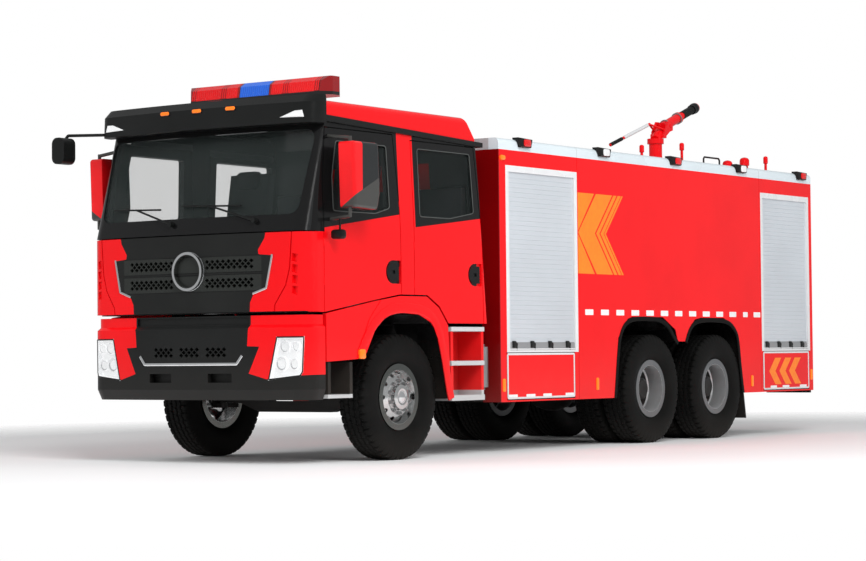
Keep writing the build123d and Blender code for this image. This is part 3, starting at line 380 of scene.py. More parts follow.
def finish(name, colour, roughness, metallic=0.0, coat=0.0, bump=(300.0, 0.0002), cloud=(2.0, 0.12),
           dust=(1.2, 0.35), zones=None, bright=None, glow=0.0, gloss=0.3):
    """A material. bump is (scale, height), cloud (scale, contrast), dust (height, amount).

    zones(at, shade) returns the colour with its zones painted on; bright(at) returns the mask of
    the part that is bare polished metal.
    """
    material, nodes, shader = new_material(name)
    skin = nodes.add("Group", {"Bump scale": bump[0], "Bump height": bump[1], "Cloud scale": cloud[0]},
                     node_tree=FINE_SKIN)
    film = nodes.add("Group", {"Height": dust[0], "Amount": dust[1]}, node_tree=ROAD_FILM)
    dirt, clouds = Field(nodes, film["Mask"]), Field(nodes, skin["Cloud"])
    light = tuple(min(1.0, c * (1 + cloud[1]) + cloud[1] * CLOUD_LIFT) for c in colour)
    dark = tuple(c * (1 - cloud[1]) for c in colour)
    shade = nodes.mix(clouds.spread(*CLOUD_RANGE), dark, light)
    if zones:
        shade = zones(Place(nodes), shade)
    shade = shade.painted(dirt, DUST)
    rough = clouds.spread(*CLOUD_RANGE, roughness * LEAST_ROUGH, roughness * MOST_ROUGH)
    rough = nodes.calc("ADD", rough, dirt * DIRT_ROUGHNESS, clamp=True)
    if bright:
        mask = bright(Place(nodes))
        shade = shade.painted(mask, BARE_METAL)
        rough = nodes.calc("SUBTRACT", rough, mask * BARE_SMOOTHNESS, clamp=True)
        metallic = nodes.calc("MAXIMUM", mask, metallic)
    nodes.feed(shader, {"Base Color": shade, "Roughness": rough, "Metallic": metallic,
                        "Normal": skin["Normal"], "Specular IOR Level": gloss, "Coat Weight": coat,
                        "Coat Roughness": COAT_ROUGHNESS})
    if glow:
        nodes.feed(shader, {"Emission Color": shade, "Emission Strength": glow})
    return material


def glass(name, colour, tint, roughness=0.02):
    """Glass that the camera sees through, darkened by its own tint; it needs no thickness."""
    material, nodes, shader = new_material(name)
    smear = Place(nodes).noise(*SMEAR_NOISE).spread(*SMEAR_RANGE)
    lighter = tuple(min(1.0, c * SMEAR_LIGHT) for c in colour)
    nodes.feed(shader, {"Base Color": nodes.mix(smear, colour, lighter), "Alpha": tint, "IOR": GLASS_IOR,
                        "Roughness": smear.spread(0.0, 1.0, roughness, roughness * SMEAR_ROUGH)})
    return material


print("bare metal:", BARE_METAL, "dust:", DUST)

# %% [markdown]
# The plain finishes. The truck is one gloss red with a thin coat; its plastics are black with a
# fine grain, its trim is chrome or white paint, its lenses glow a little as lit plastic does, and
# the reflecting film has a fine pattern of its own. Each is one call with the values of the real
# surface.

# %% Plain finishes
BLACK = (0.006, 0.006, 0.0062)
RED = (0.84, 0.0035, 0.007)
NO_DUST = (0.1, 0.0)
BODY_RED = dict(roughness=0.20, coat=0.18, gloss=0.2, bump=(420.0, 0.00006), cloud=(1.3, 0.05),
                dust=(1.1, 0.22))
COLOURED_LENS = dict(roughness=0.10, coat=0.6, bump=(220.0, 0.0006), dust=NO_DUST)
REFLECTING = dict(coat=0.2, bump=(1800.0, 0.0002), dust=(1.0, 0.15))

RED_PAINT = finish("red paint", RED, **BODY_RED)
WHITE_PAINT = finish("white paint", (0.72, 0.73, 0.74), 0.28, coat=0.3, bump=(400.0, 0.0001),
                     cloud=(1.5, 0.03))
FRAME_PAINT = finish("chassis paint", (0.008, 0.008, 0.009), 0.5, bump=(240.0, 0.0004), dust=(1.0, 0.2))
BLACK_PLASTIC = finish("black plastic", (0.0075, 0.008, 0.0078), 0.38, gloss=0.25, bump=(900.0, 0.0002),
                       dust=(1.0, 0.12))
GLOSS_BLACK = finish("gloss black", (0.006, 0.006, 0.0065), 0.16, coat=0.15, dust=(1.0, 0.08))
IRON = finish("engine iron", (0.10, 0.10, 0.105), 0.55, metallic=0.6, bump=(160.0, 0.0006), dust=(1.6, 0.6))
STEP_METAL = finish("step metal", (0.42, 0.43, 0.44), 0.34, metallic=0.85, bump=(260.0, 0.0003),
                    dust=(1.2, 0.4))
CHROME = finish("chrome", BARE_METAL, 0.08, metallic=1.0, bump=(500.0, 0.00002), dust=(1.0, 0.1))
MIRROR_FACE = finish("mirror glass", (0.80, 0.82, 0.83), 0.03, metallic=1.0, bump=(200.0, 0.00001),
                     dust=NO_DUST)
RUBBER = finish("tyre rubber", (0.0045, 0.0045, 0.0042), 0.62, gloss=0.10, bump=(220.0, 0.0006),
                cloud=(4.0, 0.25), dust=(0.30, 0.08))
SEAL_RUBBER = finish("window seal", (0.075, 0.082, 0.078), 0.42, bump=(600.0, 0.0001), dust=NO_DUST)
CLOTH = finish("seat cloth", (0.022, 0.023, 0.025), 0.85, bump=(250.0, 0.0002), cloud=(3.0, 0.2),
               dust=NO_DUST)
AMBER = finish("amber lens", (1.0, 0.19, 0.008), 0.12, coat=0.5, bump=(260.0, 0.0006), dust=NO_DUST,
               glow=0.25)
RED_LENS = finish("red lens", (0.62, 0.006, 0.008), glow=0.15, **COLOURED_LENS)
BLUE_LENS = finish("blue lens", (0.012, 0.10, 0.55), glow=0.2, **COLOURED_LENS)
LAMP_WHITE = finish("lamp bowl", (0.90, 0.91, 0.92), 0.12, metallic=0.4, dust=NO_DUST, glow=0.22)
ORANGE_FILM = finish("orange film", (1.0, 0.22, 0.010), 0.35, cloud=(30.0, 0.10), **REFLECTING)
WHITE_FILM = finish("white film", (0.82, 0.82, 0.82), 0.4, cloud=(30.0, 0.05), **REFLECTING)
CAB_GLASS = glass("cab glass", (0.060, 0.075, 0.072), 0.15)
SIDE_GLASS = glass("side glass", (0.030, 0.040, 0.038), 0.12)
LAMP_GLASS = glass("lamp glass", (0.85, 0.87, 0.88), 0.12)
print("plain finishes:", len(bpy.data.materials))

# %% [markdown]
# The cab is one red shell, but the strip under the windshield, the window surrounds, the handles'
# plates and the inside are dark. Cutting the shell along them would break its smooth skin, so
# each zone is a mask of object coordinates: the colour changes exactly where it does on the
# truck. The window surrounds lie between slanted lines, given by their two ends.

# %% The cab's paint
LINING = (0.014, 0.015, 0.0155)
BELT_Z = 2.0
NOSE_BACK, LID_BACK, LID_HALF = -1.192, -1.33, 1.0
LEGS_TOP, LEGS_HALF = 1.42, 1.185
GUTTER_LINE = (-1.17, 2.985), (1.27, 2.900)
WINDOW_ZONES = [((-1.205, -0.085), ((-1.19, 2.035), (-0.09, 2.190))),
                ((0.152, 1.226), ((0.15, 2.085), (1.22, 2.205)))]
HANDLE_ENDS = (-0.095, 1.196)
HANDLE_Z, HANDLE_R = 1.675, 0.0805
PLATE_MIDDLE, PLATE_END = 0.108, 0.0115

# Inner limits: from one height to another, and the distance at each of the two.
INNER_SIDE = (2.06, 3.14, CAB_HALF - 0.02, CAB_HALF - 0.07)
INNER_NOSE = (2.006, 2.95, Y(-1.485), Y(-1.21))
INNER_REAR = (1.15, 2.95, Y(1.322), Y(1.153))
INNER_EAVE = (2.95, 3.215, Y(1.153), Y(0.945))
NOSE_BOW, ROOF_FALL = 0.064, 0.04
INNER_ROOF_Z, CAB_FLOOR_Z = 3.165, 1.46


def over_line(at, line):
    """Height over a line that runs straight between two (place, height) ends and level past both."""
    (start, low), (end, high) = line
    return at.height - at.along.spread(Y(start), Y(end), low, high)


def handle_plates(at):
    """The D-shaped plates in the doors' pressed recesses: a circle joined to a rectangle behind it."""
    level = abs(at.height - HANDLE_Z) < HANDLE_R
    circles = any_of(at.reach(end - PLATE_MIDDLE, HANDLE_Z) < HANDLE_R for end in HANDLE_ENDS)
    behind = any_of(at.along.within(Y(end - PLATE_MIDDLE), Y(end - PLATE_END)) for end in HANDLE_ENDS)
    return circles | (level & behind)


def cab_inside(at):
    """Mask of the cab's inner faces: everything a finger's breadth inside the outer skin."""
    side = at.height.spread(*INNER_SIDE)
    nose = at.height.spread(*INNER_NOSE) + at.across * at.across * NOSE_BOW
    roof = INNER_ROOF_Z - at.out * ROOF_FALL
    rear = at.height.spread(*INNER_REAR).least(at.height.spread(*INNER_EAVE))
    return ((side - at.out > 0.0) & (at.along - nose > 0.0) & (rear - at.along > 0.0)
            & (roof - at.height > 0.0) & (at.height > CAB_FLOOR_Z))


def cab_zones(at, shade):
    """Black nose above the lid, window surrounds and legs, and a dark lining; the pillars stay red."""
    nose = (at.along < Y(NOSE_BACK)) & (at.height > BELT_Z)
    behind_lid = (at.along < Y(LID_BACK)) & (at.out < LID_HALF) & (at.height < BELT_Z)
    under_gutter = over_line(at, GUTTER_LINE) < 0.0
    windows = any_of(at.along.within(Y(start), Y(end)) & (over_line(at, sill) > 0.0) & under_gutter
                     for (start, end), sill in WINDOW_ZONES)
    legs = (at.height < LEGS_TOP) & (at.out < LEGS_HALF)
    black = nose | behind_lid | windows | legs | handle_plates(at)
    return shade.painted(black, BLACK).painted(cab_inside(at), LINING)


CAB_PAINT = finish("cab paint", RED, zones=cab_zones, **BODY_RED)
print("cab paint:", len(CAB_PAINT.node_tree.nodes), "nodes")

# %% [markdown]
# The body and the fenders are red outside and black where road dirt would show: in the wheel
# arches, under the floor and on the fender's liner. The body's face behind the cab is painted a
# darker red as the cab's shade, and painted black as shadow low down behind the front wheel. The
# steps are bright treads in a red box behind the wheel, and a bright bar under a black recess
# ahead of it.

# %% Body, fender and step paint
SKIN = 0.004
BODY_FRONT = 1.512
ARCHES_SPAN, ARCHES_TOP = (3.52, 6.50), 1.312
UNDERSIDE_SPAN, UNDERSIDE_TOP = (1.505, 8.085), 1.115
# Painted black shadow low on the body's front face behind the wheel, and painted shade on the rest of that
# face.
SHADOW_BEHIND_WHEEL_TOP, SHADOW_BEHIND_WHEEL_HALF = 1.45, 1.05
SHADED_RED = (0.20, 0.001, 0.002)
LINER_MIDDLE_Z, LINER_R = 0.60, 0.70
STAYS_HALF, FENDER_SKIN = 1.1885, 1.2435
BRIGHT_TREAD = (0.55, 0.56, 0.57)
STEP_BOX_START, STEPS_INSIDE = -0.3, 0.95
TREADS = [(1.148, 1.195), (0.833, 0.878), (0.508, 0.603)]
LOWEST_BAR = (0.553, 0.603)


def body_zones(at, shade):
    """The body: red outside, painted shade on its front face and painted black shadow low on that face behind
    the wheel, black in its arches and under its floor.
    """
    inside = at.out < BODY_HALF - SKIN
    arches = inside & at.along.within(*map(Y, ARCHES_SPAN)) & (at.height < ARCHES_TOP)
    under = inside & at.along.within(*map(Y, UNDERSIDE_SPAN)) & (at.height < UNDERSIDE_TOP)
    front_face = at.along < Y(BODY_FRONT)
    shadow_behind_wheel = front_face & (at.height < SHADOW_BEHIND_WHEEL_TOP) & (at.out < SHADOW_BEHIND_WHEEL_HALF)
    # Painted shade on the front face, painted black shadow low on it behind the wheel; black arches and
    # floor.
    return shade.painted(front_face, SHADED_RED).painted(arches | under | shadow_behind_wheel, BLACK)


def fender_zones(at, shade):
    """The fender's outer face and the panel ahead of it are red, its liner and stays are black."""
    liner = (at.along > AXLE_Y) | (at.reach(0, LINER_MIDDLE_Z) < LINER_R)
    return shade.painted((at.out < STAYS_HALF) | ((at.out < FENDER_SKIN) & liner), BLACK)


def step_zones(at, shade):
    """Bright treads in a red box behind the wheel; a bright bar under a black recess ahead of it."""
    treads = any_of(at.height.within(*tread) for tread in TREADS) & (at.along > Y(STEP_BOX_START))
    dark = shade.painted((at.along < Y(STEP_BOX_START)) | (at.out < STEPS_INSIDE), BLACK)
    return dark.painted(treads | at.height.within(*LOWEST_BAR), BRIGHT_TREAD)


BODY_PAINT = finish("body paint", RED, zones=body_zones, **BODY_RED)
FENDER_PAINT = finish("fender paint", RED, zones=fender_zones, **BODY_RED)
STEP_PAINT = finish("step paint", RED, 0.4, coat=0.05, gloss=0.15, zones=step_zones, bump=(300.0, 0.0003),
                    dust=(1.3, 0.4))
print("body paint:", len(BODY_PAINT.node_tree.nodes), "nodes")

# %% [markdown]
# A wheel's metal changes with the distance from its axle: a polished dish inside a darker flange
# in front, and behind a wall painted bright as a highlight round a deep well painted dark as its
# shade. The distance is worked out from the object coordinates, so that the rings stay round and
# turn with the wheel.

# %% Wheel metal
DISH_R, WELL_R = 0.2435, 0.2325
# A painted highlight for the well's wall and a painted shade for its deep inside.
WELL_WALL_HIGHLIGHT, WELL_SHADE = (0.80, 0.81, 0.82), (0.030, 0.031, 0.032)
FLANGE_GREY = (0.17, 0.18, 0.172)


def hub_zones(at, shade):
    """A rear wheel: painted shade deep inside it, and a painted highlight that makes the wall of its well
    brighter than the flange.
    """
    reach = at.reach(REAR_AXLES["middle"], WHEEL_R).least(at.reach(REAR_AXLES["rear"], WHEEL_R))
    # Painted highlight on the wall of the well, painted shade deep inside it.
    return shade.painted(reach.within(WELL_R, DISH_R), WELL_WALL_HIGHLIGHT).painted(reach < WELL_R, WELL_SHADE)


def flange_zones(at, shade):
    """A front wheel: a polished dish inside a darker flange."""
    return shade.painted(at.reach(0, WHEEL_R) > DISH_R, FLANGE_GREY)


POLISHED = finish("polished wheel", (0.70, 0.71, 0.71), 0.16, metallic=1.0, zones=flange_zones,
                  bump=(300.0, 0.0001), dust=(0.9, 0.3))
SILVER = finish("silver wheel", (0.25, 0.26, 0.27), 0.34, metallic=0.8, zones=hub_zones, bump=(300.0, 0.0003),
                dust=(0.9, 0.3))
print("wheel dish:", DISH_R, "m, well:", WELL_R, "m")

# %% [markdown]
# The light bar is one CAD node with a dark base, a blue middle and red lenses, of which some are
# lit. The mirrors have a red shell whose foot is grey in a wedge that climbs rearwards. Both are
# told apart by place, with the limits measured on the truck.

# %% Light bar and mirror paint
LIT_LENSES = [(0.200, 0.325), (0.405, 0.690)]
LENS_JOINTS = [(0.168, 0.176), (0.738, 0.746)]
MIDDLE_HALF, END_START = 0.170, 0.742
BAR_BASE_Z = 3.292
UNLIT, UNLIT_RED = 0.62, (0.03, 0.001, 0.002)
END_RED, BAR_BLUE = (0.22, 0.004, 0.006), (0.02, 0.16, 0.72)
MIRROR_FRONT, MIRROR_SPLIT, MIRROR_INSIDE, ARMS_END = -1.127, -1.022, 1.37, 1.369
MIRROR_LOW, MIRROR_HIGH = 2.192, 2.7705
WEDGE_Z, WEDGE_OUT, WEDGE_BACK = 2.20, 0.67, 0.47
MIRROR_DARK, MIRROR_GREY = (0.012, 0.014, 0.015), (0.050, 0.050, 0.047)


def bar_zones(at, shade):
    """The light bar: dark base and feet, blue middle, lit and unlit red lenses, darker red ends."""
    lit = any_of(at.out.within(*span) for span in LIT_LENSES)
    lenses = shade.painted(UNLIT, UNLIT_RED).painted(lit, shade)
    coloured = lenses.painted(at.out > END_START, END_RED).painted(at.out < MIDDLE_HALF, BAR_BLUE)
    joints = any_of(at.out.within(*span) for span in LENS_JOINTS)
    return coloured.painted(joints | (at.height < BAR_BASE_Z), BLACK)


def mirror_zones(at, shade):
    """The mirror: red shell, a grey wedge that climbs round its foot, a dark rear part and grey arms."""
    rise = (at.out - MIRROR_INSIDE) * WEDGE_OUT + (at.along - Y(MIRROR_FRONT)) * WEDGE_BACK
    wedge = at.height - rise < WEDGE_Z
    arms = (at.height > MIRROR_HIGH) | (at.height < MIRROR_LOW) | (at.out < ARMS_END)
    return shade.painted(at.along > Y(MIRROR_SPLIT), MIRROR_DARK).painted(wedge | arms, MIRROR_GREY)


BAR_PAINT = finish("light bar lens", (0.66, 0.006, 0.008), 0.10, coat=0.6, bump=(220.0, 0.0003), dust=NO_DUST,
                   zones=bar_zones, glow=0.12)
MIRROR_PAINT = finish("mirror shell", RED, 0.2, coat=0.5, zones=mirror_zones, dust=NO_DUST)
print("light bar:", len(BAR_PAINT.node_tree.nodes), "nodes")

# %% [markdown]
# Three more nodes have lines too fine to model: the roof rails' seams over a dull deck, the
# darker bar at the foot of each shutter, and the grille's two dished rows, whose edges are nearly
# black. The plain ring in the grille's middle is chrome.

# %% Rail, shutter and grille finishes
RAIL_SEAMS = (2.912, 4.85, 6.792)
SEAM_HALF, DECK_HALF = 0.002, 1.139
DECK_GREY, SEAM_GREY = (0.42, 0.43, 0.44), (0.25, 0.27, 0.28)
SHUTTER_BAR_TOP, SHUTTERS_INSIDE = 1.047, 1.2
SHUTTER_BAR_GREY = (0.30, 0.31, 0.32)
ROW_EDGES = (1.500, 1.646, 1.664, 1.806)
ROW_HALF, ROW_EDGES_REACH, ROW_EDGE_HALF = 0.788, 0.80, 0.0035
ROW_GREY, ROW_BLACK = (0.020, 0.022, 0.020), (0.002, 0.002, 0.002)
RING_Z = 1.682
RING_REACH = (0.1480, 0.1715)


def rail_zones(at, shade):
    """Thin dark seams across the roof rails, and the dull deck between them."""
    seams = any_of(at.along.within(Y(y) - SEAM_HALF, Y(y) + SEAM_HALF) for y in RAIL_SEAMS)
    return shade.painted(at.out < DECK_HALF, DECK_GREY).painted(seams, SEAM_GREY)


def slat_zones(at, shade):
    """The shutters: pale slats over a darker bar at the foot of each."""
    return shade.painted((at.height < SHUTTER_BAR_TOP) & (at.out > SHUTTERS_INSIDE), SHUTTER_BAR_GREY)


def row_zones(at, shade):
    """The grille: two dished rows a shade lighter than the bars between them, with near black edges."""
    edges = any_of(at.height.within(z - ROW_EDGE_HALF, z + ROW_EDGE_HALF) for z in ROW_EDGES)
    rows = (at.out < ROW_HALF) & (at.height.within(*ROW_EDGES[:2]) | at.height.within(*ROW_EDGES[2:]))
    return shade.painted(rows, ROW_GREY).painted(edges & (at.out < ROW_EDGES_REACH), ROW_BLACK)


def ring_bright(at):
    """The ring in the grille's middle: between two distances from its centre."""
    return length(at.across, at.height - RING_Z).within(*RING_REACH)


RAIL_PAINT = finish("rail paint", (0.66, 0.74, 0.78), 0.3, coat=0.3, zones=rail_zones, bump=(400.0, 0.0001),
                    cloud=(1.5, 0.03))
SLAT_METAL = finish("slat metal", (0.60, 0.64, 0.68), 0.42, metallic=0.2, zones=slat_zones,
                    bump=(500.0, 0.0001), cloud=(1.0, 0.05), dust=(1.5, 0.25))
GRILLE_PLASTIC = finish("grille plastic", (0.0085, 0.009, 0.0085), 0.34, bump=(900.0, 0.0002),
                        bright=ring_bright, zones=row_zones)
print("all finishes:", len(bpy.data.materials))

# %% [markdown]
# Every CAD node takes one finish in all its material slots. Their shapes stay as they are.

# %% Dress the CAD nodes
NODE_FINISHES = {
    CAB_PAINT: ["cab_shell", "door_front_left", "door_front_right", "door_rear_left", "door_rear_right"],
    BODY_PAINT: ["body_shell"],
    FENDER_PAINT: ["fenders"],
    RED_PAINT: ["front_lid", "corner_deflectors", "bumper", "flap_front_left", "flap_front_right",
                "flap_rear_left", "flap_rear_right", "monitor_base", "monitor_swivel", "monitor_barrel"],
    FRAME_PAINT: ["chassis_frame", "front_axle", "leaf_springs", "rear_axles", "knuckle_left",
                  "knuckle_right"],
    IRON: ["engine_block"],
    GRILLE_PLASTIC: ["grille"],
    BAR_PAINT: ["light_bar"],
    MIRROR_PAINT: ["mirror_left", "mirror_right"],
    RAIL_PAINT: ["roof_deck"],
    BLACK_PLASTIC: ["bumper_grille", "visor", "wipers", "mud_flaps_bumper"],
    STEP_PAINT: ["cab_steps"],
    STEP_METAL: ["rear_ladder", "air_tanks"],
    WHITE_PAINT: ["shutter_frames"],
    SLAT_METAL: ["roller_shutters"],
    CLOTH: ["cab_interior"],
    CAB_GLASS: ["windshield"],
    SIDE_GLASS: ["door_glass_front_left", "door_glass_front_right", "door_glass_rear_left",
                 "door_glass_rear_right"],
    LAMP_WHITE: ["headlamps"],
    POLISHED: ["rim_front_left", "rim_front_right"],
    SILVER: ["rims_middle_left", "rims_middle_right", "rims_rear_left", "rims_rear_right"],
    RUBBER: ["tyre_front_left", "tyre_front_right", "tyres_middle_left", "tyres_middle_right",
             "tyres_rear_left", "tyres_rear_right"],
}


def dress(node, material):
    """Every material slot of a CAD node's object takes one finish."""
    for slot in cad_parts[node].material_slots:
        slot.material = material


for material, names in NODE_FINISHES.items():
    for name in names:
        dress(name, material)
print("dressed:", sum(len(names) for names in NODE_FINISHES.values()), "of", len(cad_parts))

# %% [markdown]
# Every piece below starts as arrays: a grid of points and the quads between neighbours, a profile
# turned about an axle, a section carried along a path, or an outline lifted through levels. A
# shape is a pair of points and faces, so that each piece's own code says only where its points are.

# %% Grids, turned and carried shapes
NEARLY_UPRIGHT = 0.9


def grid_faces(rows, columns, close_rows=False, close_columns=False):
    """Quads between neighbouring points of a grid; a closed direction joins its last line to its first."""
    row, column = (a.ravel() for a in np.meshgrid(np.arange(rows - (not close_rows)),
                                                  np.arange(columns - (not close_columns)), indexing="ij"))
    next_row, next_column = (row + 1) % rows, (column + 1) % columns
    return np.stack([row * columns + column, row * columns + next_column,
                     next_row * columns + next_column, next_row * columns + column], axis=-1).tolist()


def unit(vectors):
    """Vectors scaled to a length of one."""
    return vectors / np.maximum(np.linalg.norm(vectors, axis=-1, keepdims=True), 1e-12)


def tube(rings):
    """A shape from closed rings of points, one after another, with a face over each end."""
    count, size = len(rings), len(rings[0])
    ends = [list(range(size))[::-1], list(range((count - 1) * size, count * size))]
    return np.concatenate(rings), grid_faces(count, size, close_columns=True) + ends


def turned(profile, turns, centre, axis=(1, 0, 0), closed=True):
    """A profile of (along, radius) turned: centre + along * axis + radius * (cos t * u + sin t * v)."""
    axis = unit(np.array(axis, float))
    u = unit(np.cross(axis, (0.0, 0.0, 1.0) if abs(axis[2]) < NEARLY_UPRIGHT else (1.0, 0.0, 0.0)))
    v = np.cross(axis, u)
    angle = np.linspace(0, 2 * np.pi, turns, endpoint=False)[:, None, None]
    along, radius = np.array(profile, float).T[:, None, :, None]
    points = np.array(centre, float) + along * axis + radius * (np.cos(angle) * u + np.sin(angle) * v)
    return points.reshape(-1, 3), grid_faces(turns, len(profile), close_rows=True, close_columns=closed)


def carried(path, section, outward):
    """A closed section of (outward, sideways) pairs carried along a path, its ends capped.

    Each point is path + a * outward + b * (tangent x outward), the outward turned square to the path.
    """
    path, section = np.asarray(path, float), np.asarray(section, float)
    tangent = unit(np.gradient(path, axis=0))
    out = np.broadcast_to(np.asarray(outward, float), path.shape)
    out = unit(out - (out * tangent).sum(-1, keepdims=True) * tangent)
    sideways = np.cross(tangent, out)
    return tube(path[:, None] + section[:, :1] * out[:, None] + section[:, 1:] * sideways[:, None])


print("a grid of 3 by 4 points has", len(grid_faces(3, 4)), "quads")

# %% [markdown]
# Lamps, plates and film are flat outlines with some thickness. Lifting an outline through levels,
# each a little further in and higher than the one before, rounds its edge as real mouldings are.
# The place function then lays the whole thing on the truck's own curved or leaning face.

# %% Outlines and lifted shapes
def rounded(width, height, radius, steps=4, middle=(0, 0)):
    """Outline of a rectangle with round corners: a quarter arc about each inset corner."""
    quarter = np.linspace(0, np.pi / 2, steps)
    arcs = [np.stack([np.cos(quarter + turn * np.pi / 2), np.sin(quarter + turn * np.pi / 2)], -1) * radius
            + np.array((sx * (width / 2 - radius), sy * (height / 2 - radius)))
            for turn, (sx, sy) in enumerate(((1, 1), (-1, 1), (-1, -1), (1, -1)))]
    return np.concatenate(arcs) + np.array(middle)


def lifted(outline, levels, place):
    """An outline taken in and lifted through (inset, height) levels; place(u, v, height) sets it in space."""
    outline = np.asarray(outline, float)
    after = np.roll(outline, -1, 0)
    if (outline[:, 0] * after[:, 1] - after[:, 0] * outline[:, 1]).sum() < 0:
        outline = outline[::-1]
        after = np.roll(outline, -1, 0)
    ahead = unit(after - outline)
    normal = np.stack([-ahead[:, 1], ahead[:, 0]], -1)
    before = np.roll(normal, 1, 0)
    inward = (normal + before) / (1 + (normal * before).sum(-1, keepdims=True))
    return tube([np.stack(np.broadcast_arrays(*place(*(outline + inset * inward).T, height)), -1)
                 for inset, height in levels])


def plate(thick):
    """Levels of a thin plate with a sharp edge."""
    return [(0, 0), (0, thick)]


def soft_edges(thick, edge, knee=0.3):
    """Levels of a plate of a thickness whose outer edge is rounded over in two steps."""
    return [(0, 0), (0, thick - edge), (edge * knee, thick - edge * knee), (edge, thick)]


def dome(thick, reach, wall=0.35, steps=4):
    """Levels of a lens: a wall of a share of the thickness, then a quarter ellipse inwards."""
    turn = np.linspace(0, np.pi / 2, steps + 1)
    return [(0, 0)] + [(reach * (1 - np.cos(t)), thick * (wall + (1 - wall) * np.sin(t))) for t in turn]


def spread_out(shape, moves):
    """Copies of one shape, each moved by its own vector."""
    points, faces = shape
    moves = np.asarray(moves, float)
    offsets = len(points) * np.arange(len(moves))
    return ((points[None] + moves[:, None]).reshape(-1, 3),
            [[index + int(offset) for index in face] for offset in offsets for face in faces])


def flipped(shape):
    """The same shape on the truck's other side."""
    points, faces = shape
    return points * (-1, 1, 1), [face[::-1] for face in faces]


def both_sides(shapes):
    """Shapes of the left side and their copies on the right."""
    return shapes + [flipped(shape) for shape in shapes]


BODY_SIDES = {"left": lambda shape: shape, "right": flipped}
DOME_LEVELS = dome(thick=0.012, reach=0.010)
print("a dome's levels:", [tuple(round(float(value), 4) for value in level) for level in DOME_LEVELS])

# %% [markdown]
# One function makes a piece from its shapes. Doubles are merged so that the shading runs smoothly
# over the seams, the faces are turned outwards because a mirrored shape is inside out, and edges
# past an angle stay sharp. Then the piece rides on its body and takes its material slot.

# %% Making a piece
DOUBLES_APART = 2e-6


def make(name, shapes, material, body, sharp=35):
    """One piece from shapes: doubles merged, faces outwards, edges past an angle kept sharp."""
    starts = np.cumsum([0] + [len(points) for points, _ in shapes[:-1]])
    faces = [[index + int(start) for index in face]
             for (_, shape_faces), start in zip(shapes, starts) for face in shape_faces]
    mesh = bpy.data.meshes.new(name)
    mesh.from_pydata(np.concatenate([points for points, _ in shapes]).tolist(), [], faces)
    work = bmesh.new()
    work.from_mesh(mesh)
    bmesh.ops.remove_doubles(work, verts=work.verts, dist=DOUBLES_APART)
    bmesh.ops.recalc_face_normals(work, faces=work.faces)
    work.to_mesh(mesh)
    work.free()
    mesh.polygons.foreach_set("use_smooth", [True] * len(mesh.polygons))
    mesh.set_sharp_from_angle(angle=radians(sharp))
    mesh.materials.append(material)
    piece = bpy.data.objects.new(name, mesh)
    scene.collection.objects.link(piece)
    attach(piece, body)
    print(name, len(mesh.polygons), "faces")
    return piece


# %% [markdown]
# The truck's outer faces are simple formulas. The nose is a shallow parabola across the truck
# that runs into a round corner, the visor's front leans back a little, and the cab's side leans
# inwards above the window line. Pieces are put on a face by its formula and a height above it,
# which is simpler than projecting them onto the CAD mesh and leaves no dents.

# %% The truck's outer faces
CORNER_R = 0.17
CORNER_X = CAB_HALF - CORNER_R
NOSE_TIP, NOSE_SWEEP = -1.530, 0.100
VISOR_TIP, VISOR_SWEEP = -1.410, 0.090
VISOR_FOOT_Z, VISOR_LEAN = 2.935, 0.0556
WINDOW_LINE_Z, SIDE_LEAN = 2.06, 0.05 / 1.08
FORWARD, OUTWARD, UPWARD = (0, -1, 0), (1, 0, 0), (0, 0, 1)


def nose_y(x):
    """The bowed nose: tip + sweep * (x / half width)^2, and past the corner's start a quarter circle."""
    x = np.abs(x)
    bowed = NOSE_TIP + NOSE_SWEEP * (np.minimum(x, CORNER_X) / CAB_HALF) ** 2
    return bowed + CORNER_R - np.sqrt(np.maximum(CORNER_R ** 2 - np.maximum(x - CORNER_X, 0) ** 2, 1e-6))


def on_nose(x, z, height):
    """A place on the nose and a height ahead of it."""
    return x, Y(nose_y(x) - height), z


def on_visor(x, z, height):
    """A place on the visor's front."""
    return x, Y(VISOR_TIP + VISOR_LEAN * (z - VISOR_FOOT_Z) + VISOR_SWEEP * (x / CAB_HALF) ** 2 - height), z


def cab_x(z):
    """How far out the cab's side is: upright to the window line, then leaning in."""
    return CAB_HALF - SIDE_LEAN * np.maximum(z - WINDOW_LINE_Z, 0)


def on_cab(y, z, height):
    """A place on the cab's left side and a height out from it."""
    return cab_x(z) + height, Y(y), z


def on_fender(y, z, height):
    """A place on the fender's upright side, level with the cab's foot."""
    return CAB_HALF + height, Y(y), z


def on_body(y, z, height):
    """A place on the body's left side and a height out from it."""
    return BODY_HALF + height, Y(y), z


def path_on(face, corners, height=0.0, step=0.02):
    """A path over a face through corners, with a point every step."""
    corners = np.asarray(corners, float)
    runs = np.linalg.norm(np.diff(corners, axis=0), axis=1)
    reach = np.concatenate([[0], np.cumsum(runs)])
    places = np.unique(np.concatenate([reach, np.arange(0, reach[-1], step)]))
    u, v = (np.interp(places, reach, corners[:, k]) for k in (0, 1))
    return np.stack(np.broadcast_arrays(*face(u, v, height)), -1)


print("nose at the middle and the corner:", round(nose_y(0.0), 4), round(float(nose_y(CAB_HALF)), 4))

# %% [markdown]
# Tyres. The CAD tyre is a plain ring with the right section. The road tread is cut into its
# outer surface here: the radius is a function of the place across and the angle, with zigzag
# grooves round the tyre, slots between the shoulder blocks and fine sipes. Everything is cut
# inwards, so the tyre keeps its size and still stands on the ground.

